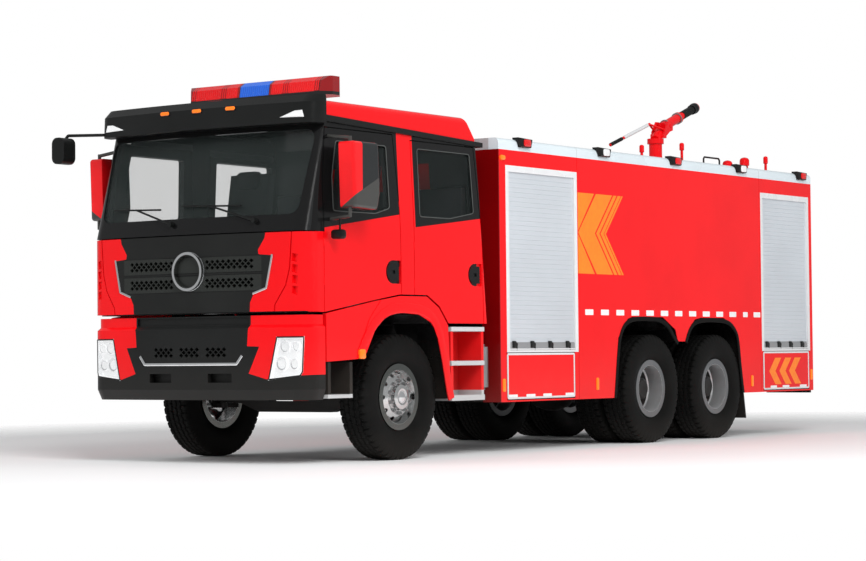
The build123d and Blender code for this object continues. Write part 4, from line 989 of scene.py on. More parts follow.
# %% Tyres
TYRE_SECTION = np.array([(0.108, 0.254), (0.108, 0.298), (0.128, 0.318), (0.1455, 0.350), (0.1545, 0.390),
                         (0.1575, 0.430), (0.1560, 0.475), (0.1480, 0.520), (0.1380, 0.549), (0.1220, 0.561)])
TREAD_HALF, TREAD_R = TYRE_SECTION[-1]
TREAD_COLUMNS = 27
TYRE_TURNS = 384
SHOULDER_BLOCKS = 48
GROOVES = (-0.080, -0.027, 0.027, 0.080)
GROOVE_HALF, GROOVE_DEPTH, ZIGZAG = 0.0058, 0.013, 0.006
GROOVE_FOOT_R, GROOVE_RAMP = 0.512, 0.03
STAGGER = 0.22
SLOT_X, SLOT_R, SLOT_SHARE = 0.084, 0.515, 0.27
SIPE_X, SIPE_R, SIPE_SHARES, SIPE_DEPTH = 0.078, 0.55, (0.46, 0.56), 0.005
WALL_X, WALL_SUNK = 0.125, 0.0022
SIDE_RIBS, SIDE_RIBS_R, SIDE_RIBS_HEIGHT = 96, 0.492, 0.0018
ROUND_RIB_R, ROUND_RIB_HEIGHT, RIB_HALF = 0.36, 0.0016, 0.012
FRONT_WHEEL_X = 1.030
REAR_WHEELS_X = (0.755, 1.095)


def tyre(x, y):
    """A tyre's surface: its section's radius, less the grooves at that place across and angle."""
    tread = np.linspace(TREAD_HALF, -TREAD_HALF, TREAD_COLUMNS)[1:-1]
    across = np.concatenate([TYRE_SECTION[:, 0], tread, -TYRE_SECTION[::-1, 0]])
    radius = np.concatenate([TYRE_SECTION[:, 1], np.full(len(tread), TREAD_R), TYRE_SECTION[::-1, 1]])
    angle = np.linspace(0, 2 * np.pi, TYRE_TURNS, endpoint=False)[:, None]
    a, r = across[None], radius[None]
    pitch = (angle * SHOULDER_BLOCKS / (2 * np.pi) + STAGGER * np.sign(a)) % 1.0
    zigzag = ZIGZAG * (2 * np.abs(2 * pitch - 1) - 1)
    grooves = sum(np.abs(a - centre - zigzag) < GROOVE_HALF for centre in GROOVES) > 0
    slots = (np.abs(a) > SLOT_X) & (r > SLOT_R) & (pitch < SLOT_SHARE)
    sipes = (np.abs(a) < SIPE_X) & (pitch > SIPE_SHARES[0]) & (pitch < SIPE_SHARES[1]) & (r > SIPE_R)
    ramp = np.clip((r - GROOVE_FOOT_R) / GROOVE_RAMP, 0, 1)
    depth = GROOVE_DEPTH * ramp * (grooves | slots) + SIPE_DEPTH * sipes
    side_ribs = SIDE_RIBS_HEIGHT * (np.abs(r - SIDE_RIBS_R) < RIB_HALF) * (np.sin(angle * SIDE_RIBS) > 0)
    round_rib = ROUND_RIB_HEIGHT * (np.abs(r - ROUND_RIB_R) < RIB_HALF)
    r = r - depth
    a = a - np.sign(a) * (WALL_SUNK - side_ribs - round_rib) * (np.abs(a) > WALL_X)
    points = np.stack(np.broadcast_arrays(x + a, Y(y) + r * np.cos(angle), WHEEL_R + r * np.sin(angle)), -1)
    return points.reshape(-1, 3), grid_faces(TYRE_TURNS, len(across), close_rows=True, close_columns=True)


for side, sign in (("left", 1), ("right", -1)):
    piece = make(f"tread_front_{side}", [tyre(sign * FRONT_WHEEL_X, 0.0)], RUBBER, f"wheel_front_{side}",
                 sharp=30)
    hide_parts(f"tyre_front_{side}")
    for place, y in REAR_AXLES.items():
        piece = make(f"treads_{place}_{side}", [tyre(sign * x, y) for x in REAR_WHEELS_X], RUBBER,
                     f"wheels_{place}_{side}", sharp=30)
        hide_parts(f"tyres_{place}_{side}")

# %% [markdown]
# Wheel nuts are six-sided turned shapes on a circle round the hub, one joined mesh a wheel. The
# front wheels have ten, with a ringed hub cap; the deep rear wheels show ten on their disc.

# %% Wheel nuts and hub caps
NUT = [(0.0, 0.0), (0.0, 0.0175), (0.004, 0.0185), (0.020, 0.0185), (0.024, 0.0155), (0.024, 0.010),
       (0.036, 0.009), (0.036, 0.0)]
NUTS = 10
FRONT_NUTS_X, FRONT_CIRCLE = 1.148, 0.1430
REAR_NUTS_X, REAR_CIRCLE = 0.937, 0.1450
HUB_CAP = [(0.0, 0.0), (0.0, 0.074), (0.0018, 0.077), (0.0045, 0.077), (0.0054, 0.071), (0.0054, 0.064),
           (0.00765, 0.060), (0.00855, 0.050), (0.00675, 0.048), (0.00675, 0.040), (0.00945, 0.034),
           (0.00945, 0.0)]
HUB_CAP_X = 1.1795


def nuts(x, y, circle, sign):
    """Nuts on a circle about a wheel's axle, facing outwards."""
    angle = 2 * np.pi * (np.arange(NUTS) + 0.5) / NUTS
    places = np.stack([np.zeros(NUTS), circle * np.cos(angle), circle * np.sin(angle)], -1)
    return spread_out(turned(NUT, 6, (x, Y(y), WHEEL_R), axis=(sign, 0, 0), closed=False), places)


for side, sign in (("left", 1), ("right", -1)):
    make(f"nuts_front_{side}", [nuts(sign * FRONT_NUTS_X, 0.0, FRONT_CIRCLE, sign)], STEP_METAL,
         f"wheel_front_{side}")
    hub_cap = turned(HUB_CAP, 48, (sign * HUB_CAP_X, Y(0.0), WHEEL_R), axis=(sign, 0, 0), closed=False)
    make(f"hub_cap_front_{side}", [hub_cap], CHROME, f"wheel_front_{side}")
    for place, y in REAR_AXLES.items():
        make(f"nuts_{place}_{side}", [nuts(sign * REAR_NUTS_X, y, REAR_CIRCLE, sign)], SILVER,
             f"wheels_{place}_{side}")

# %% [markdown]
# The nose's bright parts. A chrome bracket runs round each end of the grille and a flat strip
# with turned-up ends lies in the bumper's lower grille. Both are sections carried along paths
# on the nose.

# %% Chrome on the nose
BRACKET = [(0.899, 1.808), (0.897, 1.790), (0.838, 1.520), (0.700, 1.474)]
STRIP = [(-0.585, 0.945), (-0.526, 0.872), (0.526, 0.872), (0.585, 0.945)]
BRACKET_SECTION, STRIP_SECTION = rounded(0.012, 0.020, 0.005, 3), rounded(0.012, 0.026, 0.005, 3)
CHROME_PROUD = 0.002
bracket = carried(path_on(on_nose, BRACKET, CHROME_PROUD), BRACKET_SECTION, FORWARD)
strip = carried(path_on(on_nose, STRIP, CHROME_PROUD), STRIP_SECTION, FORWARD)
make("grille_brackets", both_sides([bracket]), CHROME, "front_lid")
make("bumper_strip", [strip], CHROME, "root")

# %% [markdown]
# The headlamps' lenses are clear and lie flush in the bumper. One could cut a piece out of the
# nose's surface, but a grid blended between the lamp's inner and outer edges gives even quads and
# follows the bowed face by its formula. A back layer 3 mm behind closes it.

# %% Headlamp lenses
LAMP = [(0.951, 1.087), (1.173, 1.087), (1.162, 0.812), (1.147, 0.781), (0.869, 0.750)]
LENS_DEPTH, LENS_THICK = 0.004, 0.003
LENS_ROWS, LENS_COLUMNS = 12, 16


def lens(corners, depth):
    """A thin lens: inner edge + (outer edge - inner edge) * u at each row, closed behind."""
    top_in, top_out, side_out, low_out, low_in = (np.array(c) for c in corners)
    t = np.linspace(0, 1, LENS_ROWS)[:, None]
    outer = np.concatenate([top_out + (side_out - top_out) * t, (side_out + (low_out - side_out) * t)[1:]])
    inner = top_in + (low_in - top_in) * np.linspace(0, 1, len(outer))[:, None]
    u = np.linspace(0, 1, LENS_COLUMNS)[None, :, None]
    flat = inner[:, None] + (outer - inner)[:, None] * u
    layers = [np.stack(np.broadcast_arrays(*on_nose(flat[..., 0], flat[..., 1], -depth - back)), -1)
              for back in (0.0, LENS_THICK)]
    index = np.arange(len(outer) * LENS_COLUMNS).reshape(-1, LENS_COLUMNS)
    front = grid_faces(*index.shape)
    edge = np.concatenate([index[0], index[1:, -1], index[-1, -2::-1], index[-2:0:-1, 0]])
    after = np.roll(edge, -1)
    wall = np.stack([edge, after, after + index.size, edge + index.size], -1).tolist()
    return (np.concatenate([layer.reshape(-1, 3) for layer in layers]),
            front + [[i + index.size for i in face][::-1] for face in front] + wall)


make("headlamp_lenses", both_sides([lens(LAMP, LENS_DEPTH)]), LAMP_GLASS, "root")

# %% [markdown]
# Behind each lens sit four chrome bowls, two above and two below, and a thin black frame runs
# round the lamp. A bowl is a turned profile with the shade of its bulb in the middle, scaled from
# a radius of one. The two pockets for tow pins are dark plates low in the bumper.

# %% Lamp inserts
LAMP_EDGE = [(0.938, 1.099), (1.185, 1.099), (1.174, 0.803), (1.157, 0.769), (0.854, 0.737)]
BOWLS = [(1.000, 1.020, 0.050), (1.112, 1.018, 0.038), (0.966, 0.872, 0.058), (1.092, 0.868, 0.046)]
BOWL = [(0.0, 0.0), (0.0, 0.20), (0.05, 0.24), (0.06, 0.50), (0.11, 0.78), (0.17, 0.92), (0.17, 1.0),
        (0.025, 1.0)]
BOWL_DEPTH = 0.036
LAMP_FRAME_SECTION = rounded(0.006, 0.012, 0.002, 2)
POCKET, POCKET_LEVELS = rounded(0.30, 0.11, 0.02, 3, (0.34, 0.752)), [(0, -0.075), (0, -0.070)]


def reflector(x, z, radius):
    """A bowl open to the front, with a bulb shade in its middle, scaled from unit radius."""
    profile = [(along * radius, reach * radius) for along, reach in BOWL]
    return turned(profile, 32, (x, Y(nose_y(x) + BOWL_DEPTH), z), FORWARD, closed=False)


lamp_frame = carried(path_on(on_nose, LAMP_EDGE + LAMP_EDGE[:1]), LAMP_FRAME_SECTION, FORWARD)
make("headlamp_frames", both_sides([lamp_frame]), GLOSS_BLACK, "root")
pocket = lifted(POCKET, POCKET_LEVELS, on_nose)
make("tow_pockets", both_sides([pocket]), BLACK_PLASTIC, "root")
make("headlamp_bowls", both_sides([reflector(*bowl) for bowl in BOWLS]), CHROME, "root")

# %% [markdown]
# Lamps over the windshield: three amber domes and two white leaf-shaped ones in the visor, and
# the light bar on the roof, whose base is dark and whose clear lens is fluted. The flutes are
# thin upright ribs, one joined mesh, because a bump alone would leave the lens edge straight.

# %% Visor and light bar lamps
VISOR_LAMPS = [(-0.377, 3.098), (0.0, 3.098), (0.377, 3.098)]
VISOR_LAMP, VISOR_RIM = (0.105, 0.034, 0.016, 6), (0.122, 0.050, 0.024, 6)
LEAF = [(0.900, 2.988), (1.140, 2.982), (1.122, 3.042), (1.050, 3.040)]
LEAF_LEVELS = [(0, -0.004), (0, 0.004), (0.006, 0.010)]
BAR_FRONT, BAR_REAR = -0.620, -0.300
BAR_MIDDLE_Z = 3.33
FLUTE = [(BAR_FRONT + 0.009, 3.298), (BAR_FRONT + 0.027, 3.386), (BAR_FRONT + 0.086, 3.4265),
         (BAR_REAR - 0.086, 3.4265), (BAR_REAR - 0.027, 3.386), (BAR_REAR - 0.009, 3.298)]
RIB_PITCH = 0.024
RIB_OUT, RIB_SUNK, RIB_WIDE = 0.0035, 0.004, 0.006
RED_RIBS = [side * x for side in (1, -1) for x in np.arange(0.205, 0.735, RIB_PITCH)]
BLUE_RIBS = np.arange(-0.156, 0.157, RIB_PITCH)
SMALL_BAR_LAMPS = (-0.62, -0.30, 0.30, 0.62)
SMALL_LAMP_Z, SMALL_LAMP_SUNK = 3.246, 0.012
LENS_TURN = [(0.0, 0.0), (0.0, 0.022), (0.010, 0.021), (0.018, 0.014), (0.021, 0.0)]


def flute(x):
    """A half-round rib over the bar's section at a place across, carried round the bar's middle."""
    path = path_on(lambda y, z, h: (x, Y(y), z), FLUTE, step=0.05)
    middle = np.array((x, Y((BAR_FRONT + BAR_REAR) / 2), BAR_MIDDLE_Z))
    turn = np.linspace(0, np.pi, 5)
    half_round = np.stack([np.sin(turn) * RIB_OUT, np.cos(turn) * RIB_WIDE], -1)
    section = np.concatenate([half_round, [(-RIB_SUNK, -RIB_WIDE), (-RIB_SUNK, RIB_WIDE)]])
    return carried(path, section, unit(path - middle))


make("visor_lamps", [lifted(rounded(*VISOR_LAMP, lamp), dome(thick=0.014, reach=0.012), on_visor)
                     for lamp in VISOR_LAMPS], AMBER, "cab")
make("visor_lamp_rims", [lifted(rounded(*VISOR_RIM, lamp), soft_edges(thick=0.006, edge=0.003), on_visor)
                         for lamp in VISOR_LAMPS], GLOSS_BLACK, "cab")
make("visor_corner_lamps", both_sides([lifted(LEAF, LEAF_LEVELS, on_visor)]), LAMP_WHITE, "cab")
make("bar_ribs_red", [flute(x) for x in RED_RIBS], RED_LENS, "cab")
make("bar_ribs_blue", [flute(x) for x in BLUE_RIBS], BLUE_LENS, "cab")
small_lamps = [turned(LENS_TURN, 20, (x, Y(BAR_FRONT + SMALL_LAMP_SUNK), SMALL_LAMP_Z), FORWARD, closed=False)
               for x in SMALL_BAR_LAMPS]
make("bar_small_lamps", small_lamps, RED_LENS, "cab")

# %% [markdown]
# A light rubber line shows inside each window's black surround. It is a closed ring: a small
# round section carried about the window's outline, whose corners are softened first. It runs
# over the leaning side of the cab and rides on its door.

# %% Window seals
FRONT_WINDOW = [(-1.060, 2.185), (-1.060, 2.480), (-0.985, 2.795), (-0.250, 2.795), (-0.235, 2.240),
                (-0.450, 2.185)]
REAR_WINDOW = [(0.225, 2.185), (0.225, 2.800), (1.065, 2.800), (1.092, 2.250), (0.700, 2.185)]
WINDOW_CORNER = 0.03
SEAL = rounded(0.008, 0.009, 0.0035, 3)


def softened(corners, radius, steps=5):
    """A closed outline with round corners: at each, (1 - t)^2 start + 2 t (1 - t) corner + t^2 end."""
    corners = np.asarray(corners, float)
    before, after = np.roll(corners, 1, 0), np.roll(corners, -1, 0)
    start, end = corners + radius * unit(before - corners), corners + radius * unit(after - corners)
    t = np.linspace(0, 1, steps)[None, :, None]
    curve = (1 - t) ** 2 * start[:, None] + 2 * t * (1 - t) * corners[:, None] + t ** 2 * end[:, None]
    return curve.reshape(-1, 2)


def ring_on(face, outline, section, height, outward):
    """A closed ring: a section carried round an outline on a face."""
    path = np.stack(np.broadcast_arrays(*face(outline[:, 0], outline[:, 1], height)), -1)
    tangent = unit(np.roll(path, -1, 0) - np.roll(path, 1, 0))
    out = np.broadcast_to(np.array(outward, float), tangent.shape)
    sideways = np.cross(tangent, out)
    points = path[:, None] + section[:, :1] * out[:, None] + section[:, 1:] * sideways[:, None]
    return points.reshape(-1, 3), grid_faces(len(path), len(section), close_rows=True, close_columns=True)


for side, turn in BODY_SIDES.items():
    for place, window in (("front", FRONT_WINDOW), ("rear", REAR_WINDOW)):
        seal = ring_on(on_cab, softened(window, WINDOW_CORNER), SEAL, 0.0, OUTWARD)
        make(f"seal_{place}_{side}", [turn(seal)], SEAL_RUBBER, f"door_{place}_{side}")

# %% [markdown]
# A broad lip stands round the fender's opening, and a black band lines the edge of each rear
# wheel arch. The points of an arch are measured one by one; cutting its corners three times makes
# a smooth curve of them. An amber lamp sits at the fender's front end.

# %% Fender lips and arch trims
FENDER_ARCH = [(-0.640, 0.945), (-0.577, 1.044), (-0.500, 1.135), (-0.410, 1.214), (-0.290, 1.283),
               (-0.115, 1.311), (0.100, 1.311), (0.281, 1.283), (0.395, 1.223), (0.479, 1.118),
               (0.529, 0.966), (0.574, 0.799), (0.611, 0.640), (0.646, 0.535)]
BODY_ARCHES = {
    "middle": [(3.584, 0.475), (3.657, 0.989), (3.707, 1.145), (3.804, 1.253), (3.971, 1.303), (4.212, 1.309),
               (4.505, 1.306), (4.702, 1.246), (4.839, 1.109), (4.924, 1.047)],
    "rear": [(5.061, 1.054), (5.131, 1.172), (5.236, 1.261), (5.419, 1.300), (5.843, 1.303), (6.059, 1.278),
             (6.209, 1.188), (6.272, 1.084), (6.319, 0.771), (6.382, 0.483)],
}
FENDER_MIDDLE, HUB_Z = (0.0, 0.60), 0.56
LIP = dict(width=0.092, shift=0.5, thick=0.018, radius=0.007, height=-0.003)
TRIM = dict(width=0.046, shift=-0.5, thick=0.014, radius=0.005, height=-0.001)
FENDER_LAMP = rounded(0.082, 0.085, 0.018, 5, (-0.676, 0.948))
FENDER_LAMP_LEVELS = [(0, -0.010), (0, 0.012), (0.005, 0.018), (0.018, 0.021)]
NEAR, FAR = 0.25, 0.75


def smoothed(points, rounds=3):
    """Corners cut: points at 1/4 and 3/4 of each span take the place of the corner between them."""
    points = np.asarray(points, float)
    for _ in range(rounds):
        a, b = points[:-1], points[1:]
        inner = np.stack([FAR * a + NEAR * b, NEAR * a + FAR * b], 1).reshape(-1, 2)
        points = np.concatenate([points[:1], inner, points[-1:]])
    return points


def band(face, edge, middle, width, shift, thick, radius, height):
    """A flat band along an arch's edge, moved away from the arch's middle by a share of its width."""
    edge = smoothed(edge)
    path = path_on(face, edge + shift * width * unit(edge - middle), height)
    return carried(path, rounded(thick, width, radius, 4), OUTWARD)


lip = band(on_fender, FENDER_ARCH, FENDER_MIDDLE, **LIP)
make("fender_lips", both_sides([lip]), RED_PAINT, "root")
trims = [band(on_body, edge, (REAR_AXLES[place], HUB_Z), **TRIM) for place, edge in BODY_ARCHES.items()]
for side, turn in BODY_SIDES.items():
    make(f"arch_trims_{side}", [turn(shape) for shape in trims], RUBBER, "root")
fender_lamp = lifted(FENDER_LAMP, FENDER_LAMP_LEVELS, on_cab)
make("fender_lamps", both_sides([fender_lamp]), AMBER, "root")

# %% [markdown]
# Stripes of the body. Reflecting film lies half a millimetre proud, as thin plates with the
# outlines measured along the body: white dashes over the wheels and under the flaps, a large
# forward chevron cut by thin red lines, and three small chevrons on the rear flap.

# %% Film stripes
FILM = plate(0.0005)
DASHES = [(3.040 + 0.302 * k, 0.155) for k in range(11)] + [(6.377, 0.107), (6.626, 0.159)]
FLAP_DASHES = {"front": [(1.640, 0.155), (1.947, 0.159), (2.247, 0.154), (2.655, 0.155)],
               "rear": [(7.016, 0.151), (7.311, 0.165), (7.744, 0.170)]}
DASH_Z, DASH_HEIGHT = 1.345, 0.056
FLAP_DASH_Z, FLAP_DASH_HEIGHT = 0.5295, 0.038
DASH_CORNER = 0.006
CHEVRON_TOP, CHEVRON_TIP, CHEVRON_FOOT = 2.535, 2.138, 1.729
CHEVRON_RUN = 0.345
SHUTTER_EDGE, GAP, HALF_CUT = 2.918, 0.012, 0.030
SMALL_CHEVRONS = (6.985, 7.234, 7.473)
SMALL_CHEVRON = dict(width=0.150, top=0.862, tip=0.712, foot=0.562, run=0.150)


def chevron(start, width, top=CHEVRON_TOP, tip=CHEVRON_TIP, foot=CHEVRON_FOOT, run=CHEVRON_RUN):
    """A band with its tip forwards: start + run * |height - tip's height| over the half height."""
    return [(start, tip), (start + run, foot), (start + run + width, foot), (start + width, tip),
            (start + run + width, top), (start + run, top)]


def dash(start, width, z, height):
    """A round-cornered dash from a place rearwards."""
    return lifted(rounded(width, height, DASH_CORNER, 3, (start + width / 2, z)), FILM, on_body)


BANDS = [chevron(2.924, 0.318), chevron(3.267, 0.062), chevron(3.352, 0.060), chevron(3.424, 0.030)]
FRONT_HALVES = [[(SHUTTER_EDGE, CHEVRON_TIP + sign * GAP), (SHUTTER_EDGE, end),
                 (SHUTTER_EDGE + CHEVRON_RUN - HALF_CUT, end)]
                for sign, end in ((1, CHEVRON_TOP), (-1, CHEVRON_FOOT))]
film_dashes = [dash(start, width, DASH_Z, DASH_HEIGHT) for start, width in DASHES]
film_chevrons = [lifted(outline, FILM, on_body) for outline in BANDS + FRONT_HALVES]
small_chevrons = [lifted(chevron(start, **SMALL_CHEVRON), FILM, on_body) for start in SMALL_CHEVRONS]
for side, turn in BODY_SIDES.items():
    make(f"dashes_{side}", [turn(shape) for shape in film_dashes], WHITE_FILM, "root")
    make(f"chevron_{side}", [turn(shape) for shape in film_chevrons], ORANGE_FILM, "root")
    make(f"small_chevrons_{side}", [turn(shape) for shape in small_chevrons], ORANGE_FILM,
         f"flap_rear_{side}")
    for place, dashes in FLAP_DASHES.items():
        flap_dashes = [turn(dash(start, width, FLAP_DASH_Z, FLAP_DASH_HEIGHT)) for start, width in dashes]
        make(f"flap_dashes_{place}_{side}", flap_dashes, WHITE_FILM, f"flap_{place}_{side}")

# %% [markdown]
# Each flap has a thin white frame round it and hangs under its shutter. The shutter's bottom bar
# carries four black latches and a bright lip, and the body's lower edge has amber marker lamps.
# A latch is a square case with a round knob and a short arm, joined into one piece a shutter.

# %% Flap frames, shutter bars and marker lamps
FLAPS = {"front": (1.620, 2.830, 0.505, 0.942), "rear": (6.850, 7.980, 0.505, 0.932)}
SHUTTERS = {"front": (1.620, 2.907, 0.950), "rear": (6.820, 8.020, 0.940)}
MARKERS = [(1.560, 0.640), (3.258, 0.627), (6.571, 0.608), (8.040, 0.662)]
FRAME_SECTION = rounded(0.010, 0.020, 0.004, 3)
FRAME_INSET, FRAME_CORNER, SEATED = 0.018, 0.010, 0.001
LIP_SECTION = rounded(0.012, 0.014, 0.005, 3)
MARKER = (0.046, 0.125, 0.016, 5)
LATCH_CASE, LATCH_ARM = (0.058, 0.066, 0.008, 3), (0.016, 0.062, 0.006, 3)
KNOB_PLACE, ARM_PLACE = (0.034, -0.002), (0.046, -0.030)
BAR_INSET = 0.0112
LATCHES, LATCH_RISE = 4, 0.076
LATCH_MARGINS = (0.135, 0.195)
KNOB = [(0.0, 0.0), (0.0, 0.022), (0.006, 0.024), (0.013, 0.020), (0.013, 0.0)]
KNOB_SUNK = 0.014
LIP_MARGIN, LIP_RISE = 0.060, 0.030


def on_bar(y, z, height):
    """A place on the shutter's bottom bar and a height out from it."""
    return BODY_HALF - BAR_INSET + height, Y(y), z


def latch(y, z):
    """A latch: a square case with a round turning knob in front of it and an arm below."""
    knob_place = (BODY_HALF - KNOB_SUNK, Y(y + KNOB_PLACE[0]), z + KNOB_PLACE[1])
    arm_place = (y + ARM_PLACE[0], z + ARM_PLACE[1])
    case = lifted(rounded(*LATCH_CASE, (y, z)), soft_edges(thick=0.012, edge=0.005), on_bar)
    knob = turned(KNOB, 16, knob_place, OUTWARD, closed=False)
    arm = lifted(rounded(*LATCH_ARM, arm_place), soft_edges(thick=0.009, edge=0.003), on_bar)
    return [case, knob, arm]


for side, turn in BODY_SIDES.items():
    for place, (y0, y1, z0, z1) in FLAPS.items():
        outline = rounded(y1 - y0 - FRAME_INSET, z1 - z0 - FRAME_INSET, FRAME_CORNER, 4,
                          ((y0 + y1) / 2, (z0 + z1) / 2))
        make(f"flap_frame_{place}_{side}", [turn(ring_on(on_body, outline, FRAME_SECTION, -SEATED, OUTWARD))],
             WHITE_PAINT, f"flap_{place}_{side}")
        y0, y1, z = SHUTTERS[place]
        places = np.linspace(y0 + LATCH_MARGINS[0], y1 - LATCH_MARGINS[1], LATCHES)
        make(f"latches_{place}_{side}", [turn(shape) for y in places for shape in latch(y, z + LATCH_RISE)],
             BLACK_PLASTIC, "root")
        lip_ends = [(y0 + LIP_MARGIN, z + LIP_RISE), (y1 - LIP_MARGIN, z + LIP_RISE)]
        lip = carried(path_on(on_bar, lip_ends, height=0.004, step=0.2), LIP_SECTION, OUTWARD)
        make(f"shutter_lip_{place}_{side}", [turn(lip)], WHITE_PAINT, "root")
    markers = [turn(lifted(rounded(*MARKER, place), DOME_LEVELS, on_body)) for place in MARKERS]
    make(f"markers_{side}", markers, AMBER, "root")

# %% [markdown]
# The roof rail has red and white lamps by turns, each in a slanted dark housing that reaches over
# the rail's edge. The housing is a four-cornered outline and the lens a rounded one, both lifted
# out from the body's side and rounded over at the front.

# %% Rail lamps
RAIL_LAMPS = [(1.93, "red"), (3.40, "white"), (4.87, "red"), (6.34, "white"), (7.81, "red")]
RAIL_HOUSING = [(-0.125, 3.008), (-0.085, 2.916), (0.095, 2.916), (0.120, 3.000)]
HOUSING_LEVELS = [(0, -0.040), (0, 0.030), (0.006, 0.040), (0.012, 0.042)]
RAIL_LENS_LEVELS = [(0, 0.036), (0, 0.048), (0.008, 0.054), (0.022, 0.057)]
RAIL_LENS = (0.120, 0.068, 0.022, 5)
RAIL_LENS_SHIFT, RAIL_LENS_Z = 0.015, 2.960
LENSES = {"red": RED_LENS, "white": LAMP_WHITE, "amber": AMBER}
for side, turn in BODY_SIDES.items():
    housings = [lifted([(y + u, v) for u, v in RAIL_HOUSING], HOUSING_LEVELS, on_body) for y, _ in RAIL_LAMPS]
    make(f"rail_lamp_housings_{side}", [turn(shape) for shape in housings], BLACK_PLASTIC, "root")
    for colour in ("red", "white"):
        lenses = [lifted(rounded(*RAIL_LENS, (y + RAIL_LENS_SHIFT, RAIL_LENS_Z)), RAIL_LENS_LEVELS, on_body)
                  for y, name in RAIL_LAMPS if name == colour]
        make(f"rail_lenses_{colour}_{side}", [turn(shape) for shape in lenses], LENSES[colour], "root")

# %% [markdown]
# On the roof stand the tank's vents and fillers, small turned shapes on short pipes, and a hatch
# handle bent from one bar on each side. Only their upper halves show over the rails, so their
# heights over the deck are what was measured.

# %% Roof fittings
DECK_Z = 2.925
VENTS = [(0.50, 6.38, 0.375), (0.85, 7.74, 0.285), (0.20, 6.00, 0.345), (-0.50, 7.10, 0.300)]
CAPS = [(0.80, 6.90, 0.190), (0.70, 7.50, 0.265), (-0.40, 7.60, 0.205)]
HATCH_BAR = [(-0.185, -0.055), (-0.185, 0.125), (-0.165, 0.145), (0.165, 0.145), (0.185, 0.125),
             (0.185, -0.055)]
HATCH_X, HATCH_Y, HATCH_RISE, HATCH_BAR_R = 0.75, 6.615, 0.058, 0.010


def vent(x, y, top):
    """A thin pipe with a small hooded head, of a given height over the deck."""
    outline = [(0.0, 0.0), (0.0, 0.036), (0.010, 0.036), (0.012, 0.016), (top - 0.090, 0.016),
               (top - 0.085, 0.027), (top - 0.020, 0.027), (top - 0.006, 0.020), (top, 0.0)]
    return turned(outline, 20, (x, Y(y), DECK_Z), UPWARD, closed=False)


def cap(x, y, top):
    """A filler's domed cap on its neck."""
    outline = [(0.0, 0.0), (0.0, 0.042), (top - 0.100, 0.042), (top - 0.095, 0.056), (top - 0.036, 0.056),
               (top - 0.015, 0.046), (top - 0.004, 0.024), (top, 0.0)]
    return turned(outline, 28, (x, Y(y), DECK_Z), UPWARD, closed=False)


def hatch_handle(x, y):
    """A bar bent over a hatch: up, across and down again."""
    path = path_on(lambda u, v, h: (x, Y(y + u), DECK_Z + HATCH_RISE + v), HATCH_BAR)
    angle = np.linspace(0, 2 * np.pi, 10, endpoint=False)
    return carried(path, np.stack([np.cos(angle), np.sin(angle)], -1) * HATCH_BAR_R, OUTWARD)


fittings = [vent(*place) for place in VENTS] + [cap(*place) for place in CAPS]
make("roof_vents", fittings, RED_PAINT, "root")
make("hatch_handles", [hatch_handle(HATCH_X, HATCH_Y), hatch_handle(-HATCH_X, HATCH_Y)], BLACK_PLASTIC,
     "root")

# %% [markdown]
# The water monitor is CAD: its barrel gets a ribbed grip, a nozzle and two flange rings, and its
# tiller a white sleeve and a ribbed handgrip. All are turned along the line of the pipe they sit
# on, and ribs are a profile whose radius steps up and down at equal distances.

# %% Monitor trim
ELBOW = np.array((0.0, Y(6.860), 3.550))
BARREL_LINE = np.array((0.0, np.cos(radians(20)), np.sin(radians(20))))
GRIP_AT, NOZZLE_AT, RINGS_AT = 0.445, 0.698, (0.02, 0.312)
NOZZLE = [(0.0, 0.034), (0.0, 0.0586), (0.050, 0.0600), (0.056, 0.0640), (0.072, 0.0640), (0.078, 0.0600),
          (0.092, 0.0600), (0.100, 0.0560), (0.104, 0.034)]
RING = [(0.0, 0.050), (0.0, 0.069), (0.018, 0.069), (0.018, 0.050)]
SLEEVE = [(0.0, 0.015), (0.0, 0.0195), (0.56, 0.0195), (0.56, 0.015)]
TILLER_HEAD, TILLER_TAIL = np.array((0.0, Y(6.530), 3.551)), np.array((0.0, Y(5.650), 3.256))
TILLER_LINE = unit(TILLER_TAIL - TILLER_HEAD)
SLEEVE_SHARE = 0.06
SLEEVE_START = SLEEVE_SHARE * np.linalg.norm(TILLER_TAIL - TILLER_HEAD)
GRIP_LENGTH, HANDGRIP_LENGTH = 0.254, 0.270
GRIP_RIB = [(0.002, 0.049), (0.009, 0.049), (0.011, 0.045)]
HANDGRIP_RIB = [(0.0, 0.021), (0.009, 0.021), (0.011, 0.018)]


def ribbed(rib, ribs, pitch, start, ends, total):
    """A grip's profile: each rib's (along, radius) points at equal distances between two end radii."""
    points = [(start + pitch * k + along, radius) for k in range(ribs) for along, radius in rib]
    return [(0.0, ends)] + points + [(total, ends)]


grip = ribbed(GRIP_RIB, ribs=21, pitch=0.012, start=0.0, ends=0.042, total=GRIP_LENGTH)
make("monitor_grip", [turned(grip, 32, ELBOW + GRIP_AT * BARREL_LINE, BARREL_LINE, closed=False)],
     BLACK_PLASTIC, "monitor_barrel")
make("monitor_nozzle", [turned(NOZZLE, 40, ELBOW + NOZZLE_AT * BARREL_LINE, BARREL_LINE)], GLOSS_BLACK,
     "monitor_barrel")
make("monitor_rings", [turned(RING, 32, ELBOW + along * BARREL_LINE, BARREL_LINE) for along in RINGS_AT],
     STEP_METAL, "monitor_barrel")
make("tiller_sleeve", [turned(SLEEVE, 20, TILLER_HEAD + SLEEVE_START * TILLER_LINE, TILLER_LINE)],
     WHITE_PAINT, "monitor_swivel")
handgrip = ribbed(HANDGRIP_RIB, ribs=19, pitch=0.014, start=0.004, ends=0.015, total=HANDGRIP_LENGTH)
make("tiller_grip", [turned(handgrip, 20, TILLER_TAIL - HANDGRIP_LENGTH * TILLER_LINE, TILLER_LINE,
                            closed=False)], BLACK_PLASTIC, "monitor_swivel")

